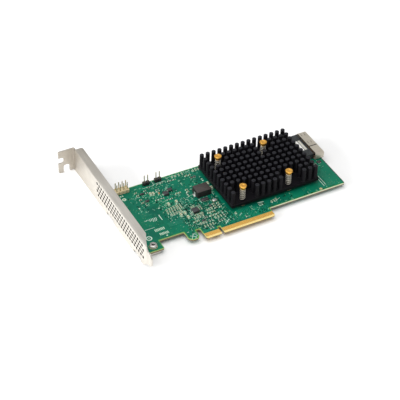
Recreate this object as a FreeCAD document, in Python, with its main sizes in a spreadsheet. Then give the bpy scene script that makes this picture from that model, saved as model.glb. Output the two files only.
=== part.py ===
"""Storage controller card: a low-profile plug-in board on a full-height vented bracket.

Frame, in millimetres: X runs along the card, away from the bracket; Y runs from the gold edge
contacts to the opposite long edge; Z leaves the component side of the board.  The origin is the
middle of the key notch (X), the bottom edge of the edge contacts (Y) and the component side (Z).
"""
import FreeCAD, Part
import math
import os
import Sketcher
from FreeCAD import Vector

doc = FreeCAD.newDocument("storage_controller_card")
sheet = doc.addObject("Spreadsheet::Sheet", "Size")

SIZES = (
    # printed circuit board
    ("board_length", 155.65, "whole board along X"),
    ("board_height", 68.90, "low-profile board height along Y"),
    ("board_thick", 1.57, "laminate thickness"),
    ("board_left", 57.15, "key notch to the bracket end of the board"),
    ("ear_right", 41.30, "key notch to the inner side of the screw ear"),
    ("ear_bottom", 3.80, "bottom of the screw ear"),
    ("left_root", 11.95, "bottom edge between ear and hook"),
    ("hook_left", 23.10, "outer side of the retention hook"),
    ("hook_right", 15.50, "inner side of the retention hook"),
    ("hook_bottom", 2.60, "lowest edge of the retention hook"),
    ("hook_slope", 2.20, "size of the hook's cut corners"),
    ("slot_top", 10.40, "top of the slot between hook and edge tab"),
    ("tab_left", 12.15, "key notch to the left side of the edge tab"),
    ("tab_right", 39.15, "key notch to the right side of the edge tab"),
    ("tab_root", 8.25, "bottom edge of the board right of the tab"),
    ("tab_corner", 0.90, "cut corners of the edge tab"),
    ("key_width", 1.90, "width of the key notch"),
    ("key_depth", 6.90, "depth of the key notch"),
    ("bevel_depth", 0.50, "thickness taken off each face at the tab's edge"),
    ("bevel_run", 1.30, "height of the bevel"),
    ("outline_round", 0.80, "rounding of the outline's inner corners"),
    # edge contacts
    ("contact_pitch", 1.00, "edge contact spacing"),
    ("contact_width", 0.70, "edge contact width"),
    ("contact_thick", 0.05, "copper and gold standing on the laminate"),
    ("contact_low", 1.35, "lower end of the contacts"),
    ("contact_high", 4.60, "upper end of the contacts"),
    ("contact_first", 1.50, "key notch to the nearest contact's middle"),
    ("left_contacts", 11, "contacts left of the key, each face"),
    ("right_contacts", 38, "contacts right of the key, each face"),
    ("detect_short", 1.10, "how much shorter the presence contact is"),
    # bracket
    ("sheet_thick", 0.90, "bracket steel"),
    ("bracket_face", 58.60, "key notch to the bracket's outer face"),
    ("bracket_width", 18.42, "bracket width"),
    ("bracket_length", 120.02, "tab surface to tongue tip"),
    ("bracket_low", 4.18, "component side down to the bracket's lower long edge"),
    ("tab_level", 109.30, "screw tab's outer surface along Y"),
    ("tab_reach", 11.43, "screw tab outwards from the bracket's face"),
    ("notch_width", 4.42, "screw notch"),
    ("notch_reach", 3.90, "screw notch depth"),
    ("notch_level", 6.40, "middle of the screw notch above the component side"),
    ("scallop_width", 4.60, "clearance cut in the screw tab"),
    ("scallop_height", 6.20, "clearance cut depth from the lower edge"),
    ("scallop_reach", 5.50, "middle of the clearance cut from the bracket's face"),
    ("flange_reach", 5.90, "stiffening flange, from the bracket's outer face"),
    ("flange_gap", 2.40, "screw tab's surface to the start of the flange"),
    ("flange_end", 7.00, "full depth of the flange ends at this Y"),
    ("flange_tip", -4.50, "flange runs out at this Y"),
    ("tongue_width", 10.19, "tongue"),
    ("tongue_step", 0.90, "tongue set inwards by this much"),
    ("tongue_root", 0.00, "tongue starts at this Y"),
    ("tongue_middle", 5.40, "middle of the tongue above the component side"),
    ("tongue_corner", 2.40, "cut corners of the tongue"),
    ("vent_radius", 1.02, "vent hole"),
    ("vent_pitch", 3.25, "vent spacing along the bracket"),
    ("vent_row", 3.00, "vent spacing across the bracket"),
    ("vent_first", -0.40, "lowest vent's middle along Y"),
    ("vent_level", 2.60, "lowest vent row above the component side"),
    ("vent_columns", 22, "vents in a row"),
    ("lug_width", 9.00, "screw lug"),
    ("lug_reach", 15.60, "screw lug from the bracket's outer face"),
    ("lug_relief", 0.90, "cut beside each lug"),
    ("collar_radius", 2.30, "drawn collar round the lug's thread"),
    ("collar_height", 0.90, "collar below the lug"),
    # screws
    ("low_screw_left", 47.10, "key notch to the lower bracket screw"),
    ("low_screw", 8.40, "lower bracket screw along Y"),
    ("high_screw_left", 49.60, "key notch to the upper bracket screw"),
    ("high_screw", 49.40, "upper bracket screw along Y"),
    ("screw_radius", 1.44, "M3 shank"),
    ("thread_radius", 1.50, "hole in the lug"),
    ("screw_hole", 1.60, "hole in the board"),
    ("screw_head", 2.75, "pan head radius"),
    ("screw_head_height", 1.90, "pan head height"),
    # heat sink
    ("fin_pitch_x", 4.55, "heat sink pin spacing along X"),
    ("fin_pitch_y", 4.95, "heat sink pin spacing along Y"),
    ("fin_columns", 15, "pins along X"),
    ("fin_rows", 10, "pins along Y"),
    ("fin_radius", 1.60, "pin radius"),
    ("fin_left", 16.70, "first pin along X"),
    ("fin_front", 18.30, "first pin along Y"),
    ("sink_side", 1.85, "base beyond the outer pins' middles"),
    ("sink_ledge", 2.20, "base beyond the front pins' middles"),
    ("sink_level", 2.40, "underside of the base above the board"),
    ("sink_base", 2.30, "base thickness"),
    ("sink_height", 11.90, "base underside to the pin tops"),
    # push-pins
    ("push_left", 25.00, "left pair along X"),
    ("push_front", 20.20, "front pair along Y"),
    ("push_span_x", 35.40, "push-pin spacing along X"),
    ("push_span_y", 35.00, "push-pin spacing along Y"),
    ("push_radius", 1.30, "shank"),
    ("push_hole", 1.55, "hole in the board"),
    ("push_sink_hole", 1.60, "hole in the heat sink"),
    ("push_head", 2.50, "head radius"),
    ("push_head_height", 0.90, "head thickness"),
    ("push_collar", 2.05, "collar under the head"),
    ("push_collar_height", 2.00, "collar height"),
    ("push_top", 15.85, "top of the heads above the board"),
    ("push_barb", 1.90, "barb radius under the board"),
    ("push_tip", 4.05, "component side down to the tips"),
    ("spring_outer", 1.98, "spring's outer radius"),
    ("spring_wire", 0.42, "spring wire"),
    ("spring_turns", 5, "turns"),
    # controller chip
    ("chip_size", 27.00, "substrate side"),
    ("chip_thick", 1.20, "substrate"),
    ("lid_size", 22.00, "lid side"),
    ("lid_thick", 1.00, "lid"),
    # rear cable socket
    ("socket_low", 38.20, "front side of the shell along Y"),
    ("socket_width", 26.20, "shell along Y"),
    ("socket_height", 5.40, "shell height"),
    ("shell_thick", 0.35, "shell sheet"),
    ("shell_reach", 6.80, "shell along X"),
    ("shell_overhang", 1.50, "shell beyond the board's edge"),
    ("shell_slit", 0.45, "slit across the top of the shell"),
    ("slit_level", 9.20, "slit from the front side of the shell"),
    ("housing_reach", 7.00, "housing behind the shell"),
    ("housing_height", 4.60, "housing behind the shell, height"),
    ("housing_inset", 2.20, "housing set in from the shell's front side"),
    ("window_start", 6.20, "housing block before the window"),
    ("window_width", 11.20, "window between the housing blocks"),
    ("housing_wall", 1.50, "wall between window and shell"),
    ("paddle_reach", 5.20, "contact paddle inside the shell"),
    ("paddle_thick", 1.00, "contact paddle thickness"),
    ("paddle_inset", 2.60, "paddle set in from the shell's sides"),
    ("paddle_pitch", 1.20, "contact spacing in the socket"),
    ("paddle_contact", 0.50, "contact width in the socket"),
    ("plate_thick", 0.25, "rear cover plate"),
    ("plate_level", 4.10, "rear cover plate above the board"),
    ("plate_reach", 3.60, "flat part of the rear cover plate"),
    # pin headers
    ("header_pitch", 2.54, "pin spacing"),
    ("header_height", 2.50, "header body height"),
    ("pin_side", 0.64, "square pin"),
    ("pin_top", 8.40, "pin tops above the board"),
    ("pin_tail", 2.90, "component side down to the pin tails"),
    ("pin_hole", 0.52, "hole in the board"),
    ("service_right", 37.20, "key notch to the right end of the eight-pin header"),
    ("service_low", 64.20, "front side of the eight-pin header"),
    ("jumper_low", 65.30, "front side of the two-pin headers"),
    ("left_jumper", 23.90, "key notch to the left two-pin header"),
    ("right_jumper", 15.10, "key notch to the right two-pin header"),
    # moulded inductor
    ("coil_length", 10.60, "power inductor along X"),
    ("coil_depth", 8.20, "power inductor along Y"),
    ("coil_height", 4.80, "power inductor height"),
    ("coil_left", 0.70, "power inductor's left side"),
    ("coil_front", 38.00, "power inductor's front side"),
    ("coil_round", 0.50, "power inductor's rounded corners"),
    ("leg_width", 3.20, "terminal width"),
    ("leg_thick", 0.20, "terminal sheet"),
    ("leg_rise", 2.60, "terminal height on the side"),
    # small chips
    ("grain_length", 1.60, "capacitor and resistor length"),
    ("grain_width", 0.80, "capacitor and resistor width"),
    ("grain_height", 0.75, "capacitor height"),
    ("resistor_height", 0.45, "resistor height"),
    ("block_length", 2.40, "large capacitor length"),
    ("block_width", 1.40, "large capacitor width"),
    ("block_height", 1.30, "large capacitor height"),
)

for row, (alias, number, remark) in enumerate(SIZES, start=1):
    sheet.set(f"A{row}", remark)
    sheet.set(f"B{row}", str(number))
    sheet.setAlias(f"B{row}", alias)
doc.recompute()


def read(expression):
    """Return the number that an expression on the sheet gives."""
    return float(sheet.evalExpression(expression))


class Sheet:
    """Read a sheet value by its alias, as S.board_length."""

    def __getattr__(self, alias):
        return float(sheet.get(alias))


S = Sheet()
ZERO = "0"

# --- helpers: sketches, features and groups -------------------------------------------------


def new_body(label):
    """Add an empty body whose label names the sub-part."""
    body = doc.addObject("PartDesign::Body", label)
    body.Label = label
    return body


def new_sketch(body, name, role, lift=ZERO):
    """Add a sketch on one of the body's own origin planes, lifted along its normal."""
    sketch = body.newObject("Sketcher::SketchObject", name)
    plane = next(item for item in body.Origin.OriginFeatures if item.Role == role)
    sketch.AttachmentSupport = [(plane, "")]
    sketch.MapMode = "FlatFace"
    sketch.setExpression("AttachmentOffset.Base.z", lift)
    return sketch


def hold(sketch, geometry, point, across, along):
    """Hold a sketch point at two expressions measured from the sketch's origin."""
    for kind, axis, expression in (("DistanceX", -2, across), ("DistanceY", -1, along)):
        if expression == ZERO:
            sketch.addConstraint(Sketcher.Constraint("PointOnObject", geometry, point, axis))
            continue
        rule = Sketcher.Constraint(kind, -1, 1, geometry, point, read(expression))
        index = sketch.addConstraint(rule)
        sketch.setExpression(f"Constraints[{index}]", expression)


def draw_outline(sketch, corners):
    """Draw a closed straight-sided outline whose corners follow the sheet."""
    first = sketch.GeometryCount
    count = len(corners)
    places = [Vector(read(across), read(along), 0) for across, along in corners]
    for index, place in enumerate(places):
        sketch.addGeometry(Part.LineSegment(place, places[(index + 1) % count]), False)
    for index, (across, along) in enumerate(corners):
        following = first + (index + 1) % count
        sketch.addConstraint(Sketcher.Constraint("Coincident", first + index, 2, following, 1))
        hold(sketch, first + index, 1, across, along)
    return sketch


def draw_box(sketch, left, right, low, high):
    """Draw a rectangle between four expressions."""
    return draw_outline(sketch, ((left, low), (right, low), (right, high), (left, high)))


def draw_circle(sketch, across, along, radius):
    """Draw a circle whose centre and radius follow the sheet."""
    centre = Vector(read(across), read(along), 0)
    index = sketch.addGeometry(Part.Circle(centre, Vector(0, 0, 1), read(radius)), False)
    hold(sketch, index, 3, across, along)
    rule = sketch.addConstraint(Sketcher.Constraint("Radius", index, read(radius)))
    sketch.setExpression(f"Constraints[{rule}]", radius)
    return sketch


def draw_octagon(sketch, across, along, radius):
    """Draw a regular octagon, which keeps the many small round features light."""
    turns = [math.radians(22.5 + 45 * corner) for corner in range(8)]
    return draw_outline(sketch, [
        (
            f"{across} + {math.cos(turn):.5f} * {radius}",
            f"{along} + {math.sin(turn):.5f} * {radius}",
        )
        for turn in turns
    ])


def turned(profile, sides):
    """Loft a solid through regular polygons, from (radius, level) pairs along Z."""
    rings = []
    for radius, level in profile:
        corners = [
            Vector(
                radius * math.cos(2 * math.pi * corner / sides),
                radius * math.sin(2 * math.pi * corner / sides), level,
            )
            for corner in range(sides)
        ]
        rings.append(Part.makePolygon(corners + corners[:1]))
    return rings


def stack(profile, sides):
    """Join ruled lofts between neighbouring rings, leaving out flat steps."""
    rings = turned(profile, sides)
    joined = None
    for index in range(len(profile) - 1):
        if near(profile[index][1], profile[index + 1][1]):
            continue
        piece = Part.makeLoft([rings[index], rings[index + 1]], True, True)
        joined = piece if joined is None else joined.fuse(piece)
    return joined.removeSplitter()


def pad(body, sketch, length):
    """Raise a sketch along its plane's normal."""
    feature = body.newObject("PartDesign::Pad", f"{sketch.Name}_pad")
    feature.Profile = sketch
    feature.setExpression("Length", length)
    body.Tip = feature
    return feature


def pocket(body, sketch, depth=None):
    """Cut a sketch against its plane's normal, right through when no depth is given."""
    doc.recompute()
    before = body.Shape.Volume
    feature = body.newObject("PartDesign::Pocket", f"{sketch.Name}_cut")
    feature.Profile = sketch
    if depth is None:
        feature.Type = "ThroughAll"
    else:
        feature.setExpression("Length", depth)
    body.Tip = feature
    doc.recompute()
    if body.Shape.Volume >= before - 1e-6:
        raise RuntimeError(f"{feature.Name} removes nothing")
    return feature


def round_edges(body, name, radius, chosen):
    """Fillet every edge of the body's last feature that a test chooses."""
    doc.recompute()
    base = body.Tip
    picked = [
        f"Edge{index}" for index, edge in enumerate(base.Shape.Edges, start=1) if chosen(edge)
    ]
    if not picked:
        raise RuntimeError(f"{name} finds no edge")
    feature = body.newObject("PartDesign::Fillet", name)
    feature.Base = (base, picked)
    feature.setExpression("Radius", radius)
    body.Tip = feature
    return feature


def near(number, target):
    """Tell whether two lengths are the same to a micrometre."""
    return abs(number - target) < 1e-3


def upright(edge, places):
    """Tell whether an edge stands along Z at one of the given X, Y places."""
    low, high = edge.BoundBox.ZMin, edge.BoundBox.ZMax
    middle = edge.BoundBox.Center
    flat = edge.BoundBox.XLength + edge.BoundBox.YLength
    return flat < 1e-3 and high - low > 1e-3 and any(
        near(middle.x, x) and near(middle.y, y) for x, y in places
    )


def block(length, width, height, x, y, z):
    """Return a plain box with its low corner at x, y, z."""
    return Part.makeBox(length, width, height, Vector(x, y, z))


def group(label, solids):
    """Put like pieces in one named object, as separate solids."""
    feature = doc.addObject("Part::Feature", label)
    feature.Label = label
    feature.Shape = Part.makeCompound(solids)
    return feature


def bound_box(label, length, width, height, x, y, z):
    """Add a box whose sizes and place follow the sheet."""
    feature = doc.addObject("Part::Box", label)
    feature.Label = label
    for name, expression in (
        ("Length", length), ("Width", width), ("Height", height),
        ("Placement.Base.x", x), ("Placement.Base.y", y), ("Placement.Base.z", z),
    ):
        feature.setExpression(name, expression)
    return feature


# --- places shared by several pieces ----------------------------------------------------------

BOARD_RIGHT = "(Size.board_length - Size.board_left)"
BRACKET_TOP = "(Size.bracket_width - Size.bracket_low)"
SHELL_START = f"({BOARD_RIGHT} + Size.shell_overhang - Size.shell_reach)"
HOUSING_START = f"({SHELL_START} - Size.housing_reach)"
SCREW_PLACES = (
    ("-Size.low_screw_left", "Size.low_screw"), ("-Size.high_screw_left", "Size.high_screw"),
)
PUSH_PLACES = tuple(
    (f"Size.push_left + {column} * Size.push_span_x", f"Size.push_front + {row} * Size.push_span_y")
    for column in (0, 1) for row in (0, 1)
)
SERVICE_PINS = tuple(
    (
        f"-Size.service_right - {column + 0.5} * Size.header_pitch",
        f"Size.service_low + {row + 0.5} * Size.header_pitch",
    )
    for column in range(4) for row in range(2)
)
JUMPER_PINS = tuple(
    (f"-Size.{side}_jumper + {shift} * Size.header_pitch", "Size.jumper_low + 0.5 * Size.header_pitch")
    for side in ("left", "right") for shift in (-0.5, 0.5)
)


# --- circuit board ------------------------------------------------------------------------------


def make_board():
    """Laminate with its tab, key notch, hook, ear, bevel and drilled holes."""
    body = new_body("circuit_board")
    outline = new_sketch(body, "board_outline", "XY_Plane", "-Size.board_thick")
    draw_outline(outline, (
        ("-Size.board_left", "Size.ear_bottom"),
        ("-Size.ear_right", "Size.ear_bottom"),
        ("-Size.ear_right", "Size.left_root"),
        ("-Size.hook_left", "Size.left_root"),
        ("-Size.hook_left", "Size.hook_bottom + Size.hook_slope"),
        ("-Size.hook_left + Size.hook_slope", "Size.hook_bottom"),
        ("-Size.hook_right - 0.8 * Size.hook_slope", "Size.hook_bottom"),
        ("-Size.hook_right", "Size.hook_bottom + 0.9 * Size.hook_slope"),
        ("-Size.hook_right", "Size.slot_top"),
        ("-Size.tab_left", "Size.slot_top"),
        ("-Size.tab_left", "Size.tab_corner"),
        ("-Size.tab_left + Size.tab_corner", ZERO),
        ("Size.tab_right - Size.tab_corner", ZERO),
        ("Size.tab_right", "Size.tab_corner"),
        ("Size.tab_right", "Size.tab_root"),
        (BOARD_RIGHT, "Size.tab_root"),
        (BOARD_RIGHT, "Size.board_height"),
        ("-Size.board_left", "Size.board_height"),
    ))
    pad(body, outline, "Size.board_thick")

    key = new_sketch(body, "key_notch", "XY_Plane")
    draw_box(key, "-Size.key_width / 2", "Size.key_width / 2", "-1", "Size.key_depth")
    pocket(body, key)

    bevel = new_sketch(body, "tab_bevel", "YZ_Plane", "Size.tab_right + 1")
    for top, inward in (("1", "-Size.bevel_depth"), ("-Size.board_thick - 1", "Size.bevel_depth")):
        face = ZERO if top == "1" else "-Size.board_thick"
        start = inward if face == ZERO else f"{face} + Size.bevel_depth"
        draw_outline(bevel, (
            ("-1", start),
            (ZERO, start),
            ("Size.bevel_run", face),
            ("Size.bevel_run", top),
            ("-1", top),
        ))
    pocket(body, bevel, "Size.tab_left + Size.tab_right + 2")

    holes = new_sketch(body, "drilled_holes", "XY_Plane")
    for across, along in SCREW_PLACES:
        draw_circle(holes, across, along, "Size.screw_hole")
    for across, along in PUSH_PLACES:
        draw_circle(holes, across, along, "Size.push_hole")
    for across, along in SERVICE_PINS + JUMPER_PINS:
        draw_octagon(holes, across, along, "Size.pin_hole")
    pocket(body, holes)

    rounded = (
        (-S.ear_right, S.left_root), (-S.hook_left, S.left_root),
        (-S.hook_right, S.slot_top), (-S.tab_left, S.slot_top),
        (S.tab_right, S.tab_root), (read(BOARD_RIGHT), S.tab_root),
        (read(BOARD_RIGHT), S.board_height), (-S.board_left, S.board_height),
        (-S.key_width / 2, S.key_depth), (S.key_width / 2, S.key_depth),
    )
    round_edges(body, "rounded_corners", "Size.outline_round", lambda edge: upright(edge, rounded))
    return body


def make_contacts(label, bottom):
    """One row of gold contacts; one contact is short so that it makes last."""
    left = [-S.contact_first - S.contact_pitch * index for index in range(int(S.left_contacts))]
    right = [S.contact_first + S.contact_pitch * index for index in range(int(S.right_contacts))]
    solids = []
    for middle in left + right:
        length = S.contact_high - S.contact_low
        low = S.contact_low
        if middle == (left[-1] if bottom == 0 else right[-1]):
            low += S.detect_short
            length -= S.detect_short
        solids.append(block(
            S.contact_width, length, S.contact_thick, middle - S.contact_width / 2, low, bottom
        ))
    return group(label, solids)


# --- bracket --------------------------------------------------------------------------------------


def make_bracket():
    """Folded sheet: vented face, stiffening flange, screw tab, stepped tongue and two lugs."""
    body = new_body("bracket")
    outer = "-Size.bracket_face"
    top = BRACKET_TOP
    low = "-Size.bracket_low"
    step_top = "(Size.tongue_middle + Size.tongue_width / 2)"
    step_low = "(Size.tongue_middle - Size.tongue_width / 2)"
    tip = "(Size.tab_level - Size.bracket_length)"

    face = new_sketch(body, "bracket_face", "YZ_Plane", outer)
    draw_outline(face, (
        ("Size.tab_level", low),
        ("Size.tab_level", top),
        ("Size.flange_tip", top),
        ("Size.tongue_root - Size.flange_reach", step_top),
        ("Size.tongue_root - Size.flange_reach", step_low),
        ("Size.tongue_root", low),
    ))
    pad(body, face, "Size.sheet_thick")

    flange = new_sketch(body, "bracket_flange", "XY_Plane", f"{top} - Size.sheet_thick")
    draw_outline(flange, (
        (outer, "Size.flange_tip"),
        ("-Size.bracket_face + Size.sheet_thick", "Size.flange_tip"),
        ("-Size.bracket_face + Size.flange_reach", "Size.flange_end"),
        ("-Size.bracket_face + Size.flange_reach", "Size.tab_level - Size.flange_gap"),
        (outer, "Size.tab_level - Size.flange_gap"),
    ))
    pad(body, flange, "Size.sheet_thick")

    tab = new_sketch(body, "bracket_tab", "XZ_Plane", "-Size.tab_level")
    draw_box(tab, "-Size.bracket_face - Size.tab_reach", "-Size.bracket_face + Size.sheet_thick", low, top)
    pad(body, tab, "Size.sheet_thick")

    tongue = new_sketch(body, "bracket_tongue", "YZ_Plane", f"{outer} + Size.tongue_step")
    draw_outline(tongue, (
        ("Size.tongue_root - Size.flange_reach + Size.sheet_thick", step_low),
        ("Size.tongue_root - Size.flange_reach + Size.sheet_thick", step_top),
        (f"{tip} + Size.tongue_corner", step_top),
        (tip, f"{step_top} - Size.tongue_corner"),
        (tip, f"{step_low} + Size.tongue_corner"),
        (f"{tip} + Size.tongue_corner", step_low),
    ))
    pad(body, tongue, "Size.sheet_thick")

    lugs = new_sketch(body, "bracket_lugs", "XY_Plane", "-Size.board_thick - Size.sheet_thick")
    for _, along in SCREW_PLACES:
        draw_box(
            lugs, outer, "-Size.bracket_face + Size.lug_reach",
            f"{along} - Size.lug_width / 2", f"{along} + Size.lug_width / 2",
        )
    pad(body, lugs, "Size.sheet_thick")

    collars = new_sketch(
        body, "lug_collars", "XY_Plane", "-Size.board_thick - Size.sheet_thick - Size.collar_height"
    )
    for across, along in SCREW_PLACES:
        draw_circle(collars, across, along, "Size.collar_radius")
    pad(body, collars, "Size.collar_height + Size.sheet_thick / 2")

    threads = new_sketch(body, "lug_threads", "XY_Plane", "-Size.board_thick")
    for across, along in SCREW_PLACES:
        draw_circle(threads, across, along, "Size.thread_radius")
    pocket(body, threads, "Size.sheet_thick + Size.collar_height")

    reliefs = new_sketch(body, "lug_reliefs", "YZ_Plane", f"{outer} + Size.sheet_thick")
    for _, along in SCREW_PLACES:
        draw_box(
            reliefs,
            f"{along} - Size.lug_width / 2 - Size.lug_relief",
            f"{along} + Size.lug_width / 2 + Size.lug_relief",
            "-Size.bracket_low - 1", "-Size.board_thick - Size.sheet_thick",
        )
    pocket(body, reliefs, "Size.sheet_thick")

    notch = new_sketch(body, "screw_notch", "XZ_Plane", "-Size.tab_level + Size.sheet_thick")
    draw_box(
        notch,
        "-Size.bracket_face - Size.tab_reach - 1",
        "-Size.bracket_face - Size.tab_reach + Size.notch_reach",
        "Size.notch_level - Size.notch_width / 2", "Size.notch_level + Size.notch_width / 2",
    )
    draw_box(
        notch,
        "-Size.bracket_face - Size.scallop_reach - Size.scallop_width / 2",
        "-Size.bracket_face - Size.scallop_reach + Size.scallop_width / 2",
        "-Size.bracket_low - 1", "-Size.bracket_low + Size.scallop_height",
    )
    pocket(body, notch, "Size.sheet_thick")

    def tab_corner(edge):
        """Inner corners of the notch and of the clearance cut."""
        box = edge.BoundBox
        notch_end = -S.bracket_face - S.tab_reach + S.notch_reach
        in_notch = near(box.Center.x, notch_end) and near(box.ZLength, 0)
        sides = (-S.bracket_face - S.scallop_reach - S.scallop_width / 2,
                 -S.bracket_face - S.scallop_reach + S.scallop_width / 2)
        in_cut = any(near(box.Center.x, side) for side in sides)
        in_cut = in_cut and near(box.Center.z, -S.bracket_low + S.scallop_height)
        along_y = near(box.XLength, 0) and near(box.ZLength, 0) and near(box.YLength, S.sheet_thick)
        return along_y and (in_notch or in_cut)

    round_edges(body, "tab_corner_rounds", "Size.notch_width / 4", tab_corner)

    def flange_bend(edge):
        """Long outer edge where the face turns into the flange."""
        box = edge.BoundBox
        along_y = near(box.XLength + box.ZLength, 0) and box.YLength > 20
        return along_y and near(box.Center.x, -S.bracket_face) and near(box.Center.z, read(top))

    def tab_bend(edge):
        """Outer edge where the face turns into the screw tab."""
        box = edge.BoundBox
        along_z = near(box.XLength + box.YLength, 0) and box.ZLength > 5
        at_face = near(box.Center.x, -S.bracket_face + S.sheet_thick)
        return along_z and at_face and near(box.Center.y, S.tab_level)

    round_edges(body, "tab_bend_round", "0.7 * Size.sheet_thick", tab_bend)
    round_edges(body, "flange_bend_round", "0.9 * Size.sheet_thick", flange_bend)

    vents = new_sketch(body, "vent_holes", "YZ_Plane", f"{outer} + Size.sheet_thick")
    for row in range(4):
        draw_octagon(
            vents, f"Size.vent_first + {0.5 * (row % 2)} * Size.vent_pitch",
            f"Size.vent_level + {row} * Size.vent_row", "Size.vent_radius",
        )
    first = pocket(body, vents, "Size.sheet_thick")
    field = body.newObject("PartDesign::LinearPattern", "vent_field")
    field.Originals = [first]
    field.Direction = (vents, ["H_Axis"])
    field.setExpression("Occurrences", "Size.vent_columns")
    field.setExpression("Length", "(Size.vent_columns - 1) * Size.vent_pitch")
    body.Tip = field
    return body


def make_screws():
    """Two pan head screws that clamp the board to the bracket's lugs."""
    solids = []
    end = S.board_thick + S.sheet_thick + S.collar_height - 0.1
    for across, along in SCREW_PLACES:
        screw = stack((
            (S.screw_radius - 0.4, -end), (S.screw_radius, -end + 0.4), (S.screw_radius, 0),
            (S.screw_head, 0), (S.screw_head, 0.45 * S.screw_head_height),
            (0.78 * S.screw_head, 0.88 * S.screw_head_height),
            (0.45 * S.screw_head, S.screw_head_height),
        ), 16)
        screw.translate(Vector(read(across), read(along), 0))
        solids.append(screw)
    return group("bracket_screws", solids)


# --- heat sink, chip and push-pins ----------------------------------------------------------------


def make_heat_sink():
    """Cast pin-fin heat sink with clearings and holes for four push-pins."""
    body = new_body("heat_sink")
    right = "(Size.fin_left + (Size.fin_columns - 1) * Size.fin_pitch_x)"
    back = "(Size.fin_front + (Size.fin_rows - 1) * Size.fin_pitch_y)"
    base = new_sketch(body, "sink_base", "XY_Plane", "Size.sink_level")
    draw_box(
        base, "Size.fin_left - Size.sink_side", f"{right} + Size.sink_side",
        "Size.fin_front - Size.sink_ledge", f"{back} + Size.sink_side",
    )
    pad(body, base, "Size.sink_base")

    corner_pin = new_sketch(body, "sink_pin", "XY_Plane", "Size.sink_level + Size.sink_base / 2")
    draw_octagon(corner_pin, "Size.fin_left", "Size.fin_front", "Size.fin_radius")
    pin = pad(body, corner_pin, "Size.sink_height - Size.sink_base / 2")
    doc.recompute()

    field = body.newObject("PartDesign::MultiTransform", "sink_pin_field")
    field.Originals = [pin]
    steps = []
    for name, axis, count, pitch in (
        ("columns", "H_Axis", "Size.fin_columns", "Size.fin_pitch_x"),
        ("rows", "V_Axis", "Size.fin_rows", "Size.fin_pitch_y"),
    ):
        step = body.newObject("PartDesign::LinearPattern", f"sink_pin_{name}")
        step.Direction = (corner_pin, [axis])
        step.setExpression("Occurrences", count)
        step.setExpression("Length", f"({count} - 1) * {pitch}")
        steps.append(step)
    field.Transformations = steps
    body.Tip = field

    cleared = new_sketch(body, "sink_clearings", "XY_Plane", "Size.sink_level + Size.sink_height")
    for first_column, last_column, first_row, last_row in (
        ("1", "3", "0", "1"),
        ("(Size.fin_columns - 6)", "(Size.fin_columns - 4)", "0", "1"),
        ("1", "2", "(Size.fin_rows - 3)", "(Size.fin_rows - 2)"),
        ("(Size.fin_columns - 6)", "(Size.fin_columns - 5)", "(Size.fin_rows - 3)", "(Size.fin_rows - 2)"),
    ):
        draw_box(
            cleared,
            f"Size.fin_left + ({first_column} - 0.45) * Size.fin_pitch_x",
            f"Size.fin_left + ({last_column} + 0.45) * Size.fin_pitch_x",
            f"Size.fin_front + ({first_row} - 0.45) * Size.fin_pitch_y",
            f"Size.fin_front + ({last_row} + 0.45) * Size.fin_pitch_y",
        )
    pocket(body, cleared, "Size.sink_height - Size.sink_base")

    holes = new_sketch(body, "sink_holes", "XY_Plane", "Size.sink_level + Size.sink_base")
    for across, along in PUSH_PLACES:
        draw_circle(holes, across, along, "Size.push_sink_hole")
    pocket(body, holes, "Size.sink_base")
    return body


def make_push_pins():
    """Four brass push-pins: wide head, collar, shank and a split barb under the board."""
    solids = []
    head_low = S.push_top - S.push_head_height
    collar_low = head_low - S.push_collar_height
    seat = -S.board_thick
    for across, along in PUSH_PLACES:
        pin = stack((
            (0.5 * S.push_radius, -S.push_tip), (S.push_barb, seat - 0.35), (S.push_barb, seat),
            (S.push_radius, seat), (S.push_radius, collar_low),
            (0.9 * S.push_collar, collar_low), (S.push_collar, head_low - 0.5),
            (S.push_head, head_low), (S.push_head, S.push_top - 0.3),
            (S.push_head - 0.3, S.push_top),
        ), 12)
        split = block(0.5, 3 * S.push_barb, S.push_tip + seat + 1, -0.25, -1.5 * S.push_barb, -S.push_tip - 1)
        pin = pin.cut(split)
        pin.translate(Vector(read(across), read(along), 0))
        solids.append(pin)
    return group("push_pins", solids)


def make_springs():
    """Four coil springs between the heat sink's base and the push-pins' collars."""
    low = S.sink_level + S.sink_base + S.spring_wire / 2
    high = S.push_top - S.push_head_height - S.push_collar_height - 0.7 * S.spring_wire
    steps = 8 * int(S.spring_turns)
    radius = S.spring_outer - S.spring_wire / 2
    places = []
    for step in range(steps + 1):
        turn = 2 * math.pi * step / 8
        rise = low + (high - low) * step / steps
        places.append(Vector(radius * math.cos(turn), radius * math.sin(turn), rise))
    spine = Part.makePolygon(places)
    half = S.spring_wire / 2
    start = places[0]
    section = Part.makePolygon([
        start + Vector(-half, 0, -half), start + Vector(half, 0, -half),
        start + Vector(half, 0, half), start + Vector(-half, 0, half), start + Vector(-half, 0, -half),
    ])
    coil = spine.makePipeShell([section], True, False, 1)
    solids = []
    for across, along in PUSH_PLACES:
        spring = coil.copy()
        spring.translate(Vector(read(across), read(along), 0))
        solids.append(spring)
    return group("push_pin_springs", solids)


def make_chip():
    """Controller chip under the heat sink: substrate, lid and thermal pad."""
    middle_x = "(Size.push_left + Size.push_span_x / 2)"
    middle_y = "(Size.push_front + Size.push_span_y / 2)"
    made = []
    for label, side, height, level in (
        ("controller_substrate", "Size.chip_size", "Size.chip_thick", ZERO),
        ("controller_lid", "Size.lid_size", "Size.lid_thick", "Size.chip_thick"),
        (
            "thermal_pad", "Size.lid_size - 1",
            "Size.sink_level - Size.chip_thick - Size.lid_thick", "Size.chip_thick + Size.lid_thick",
        ),
    ):
        made.append(bound_box(
            label, side, side, height, f"{middle_x} - ({side}) / 2", f"{middle_y} - ({side}) / 2", level
        ))
    return made


# --- rear cable socket ------------------------------------------------------------------------------


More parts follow.
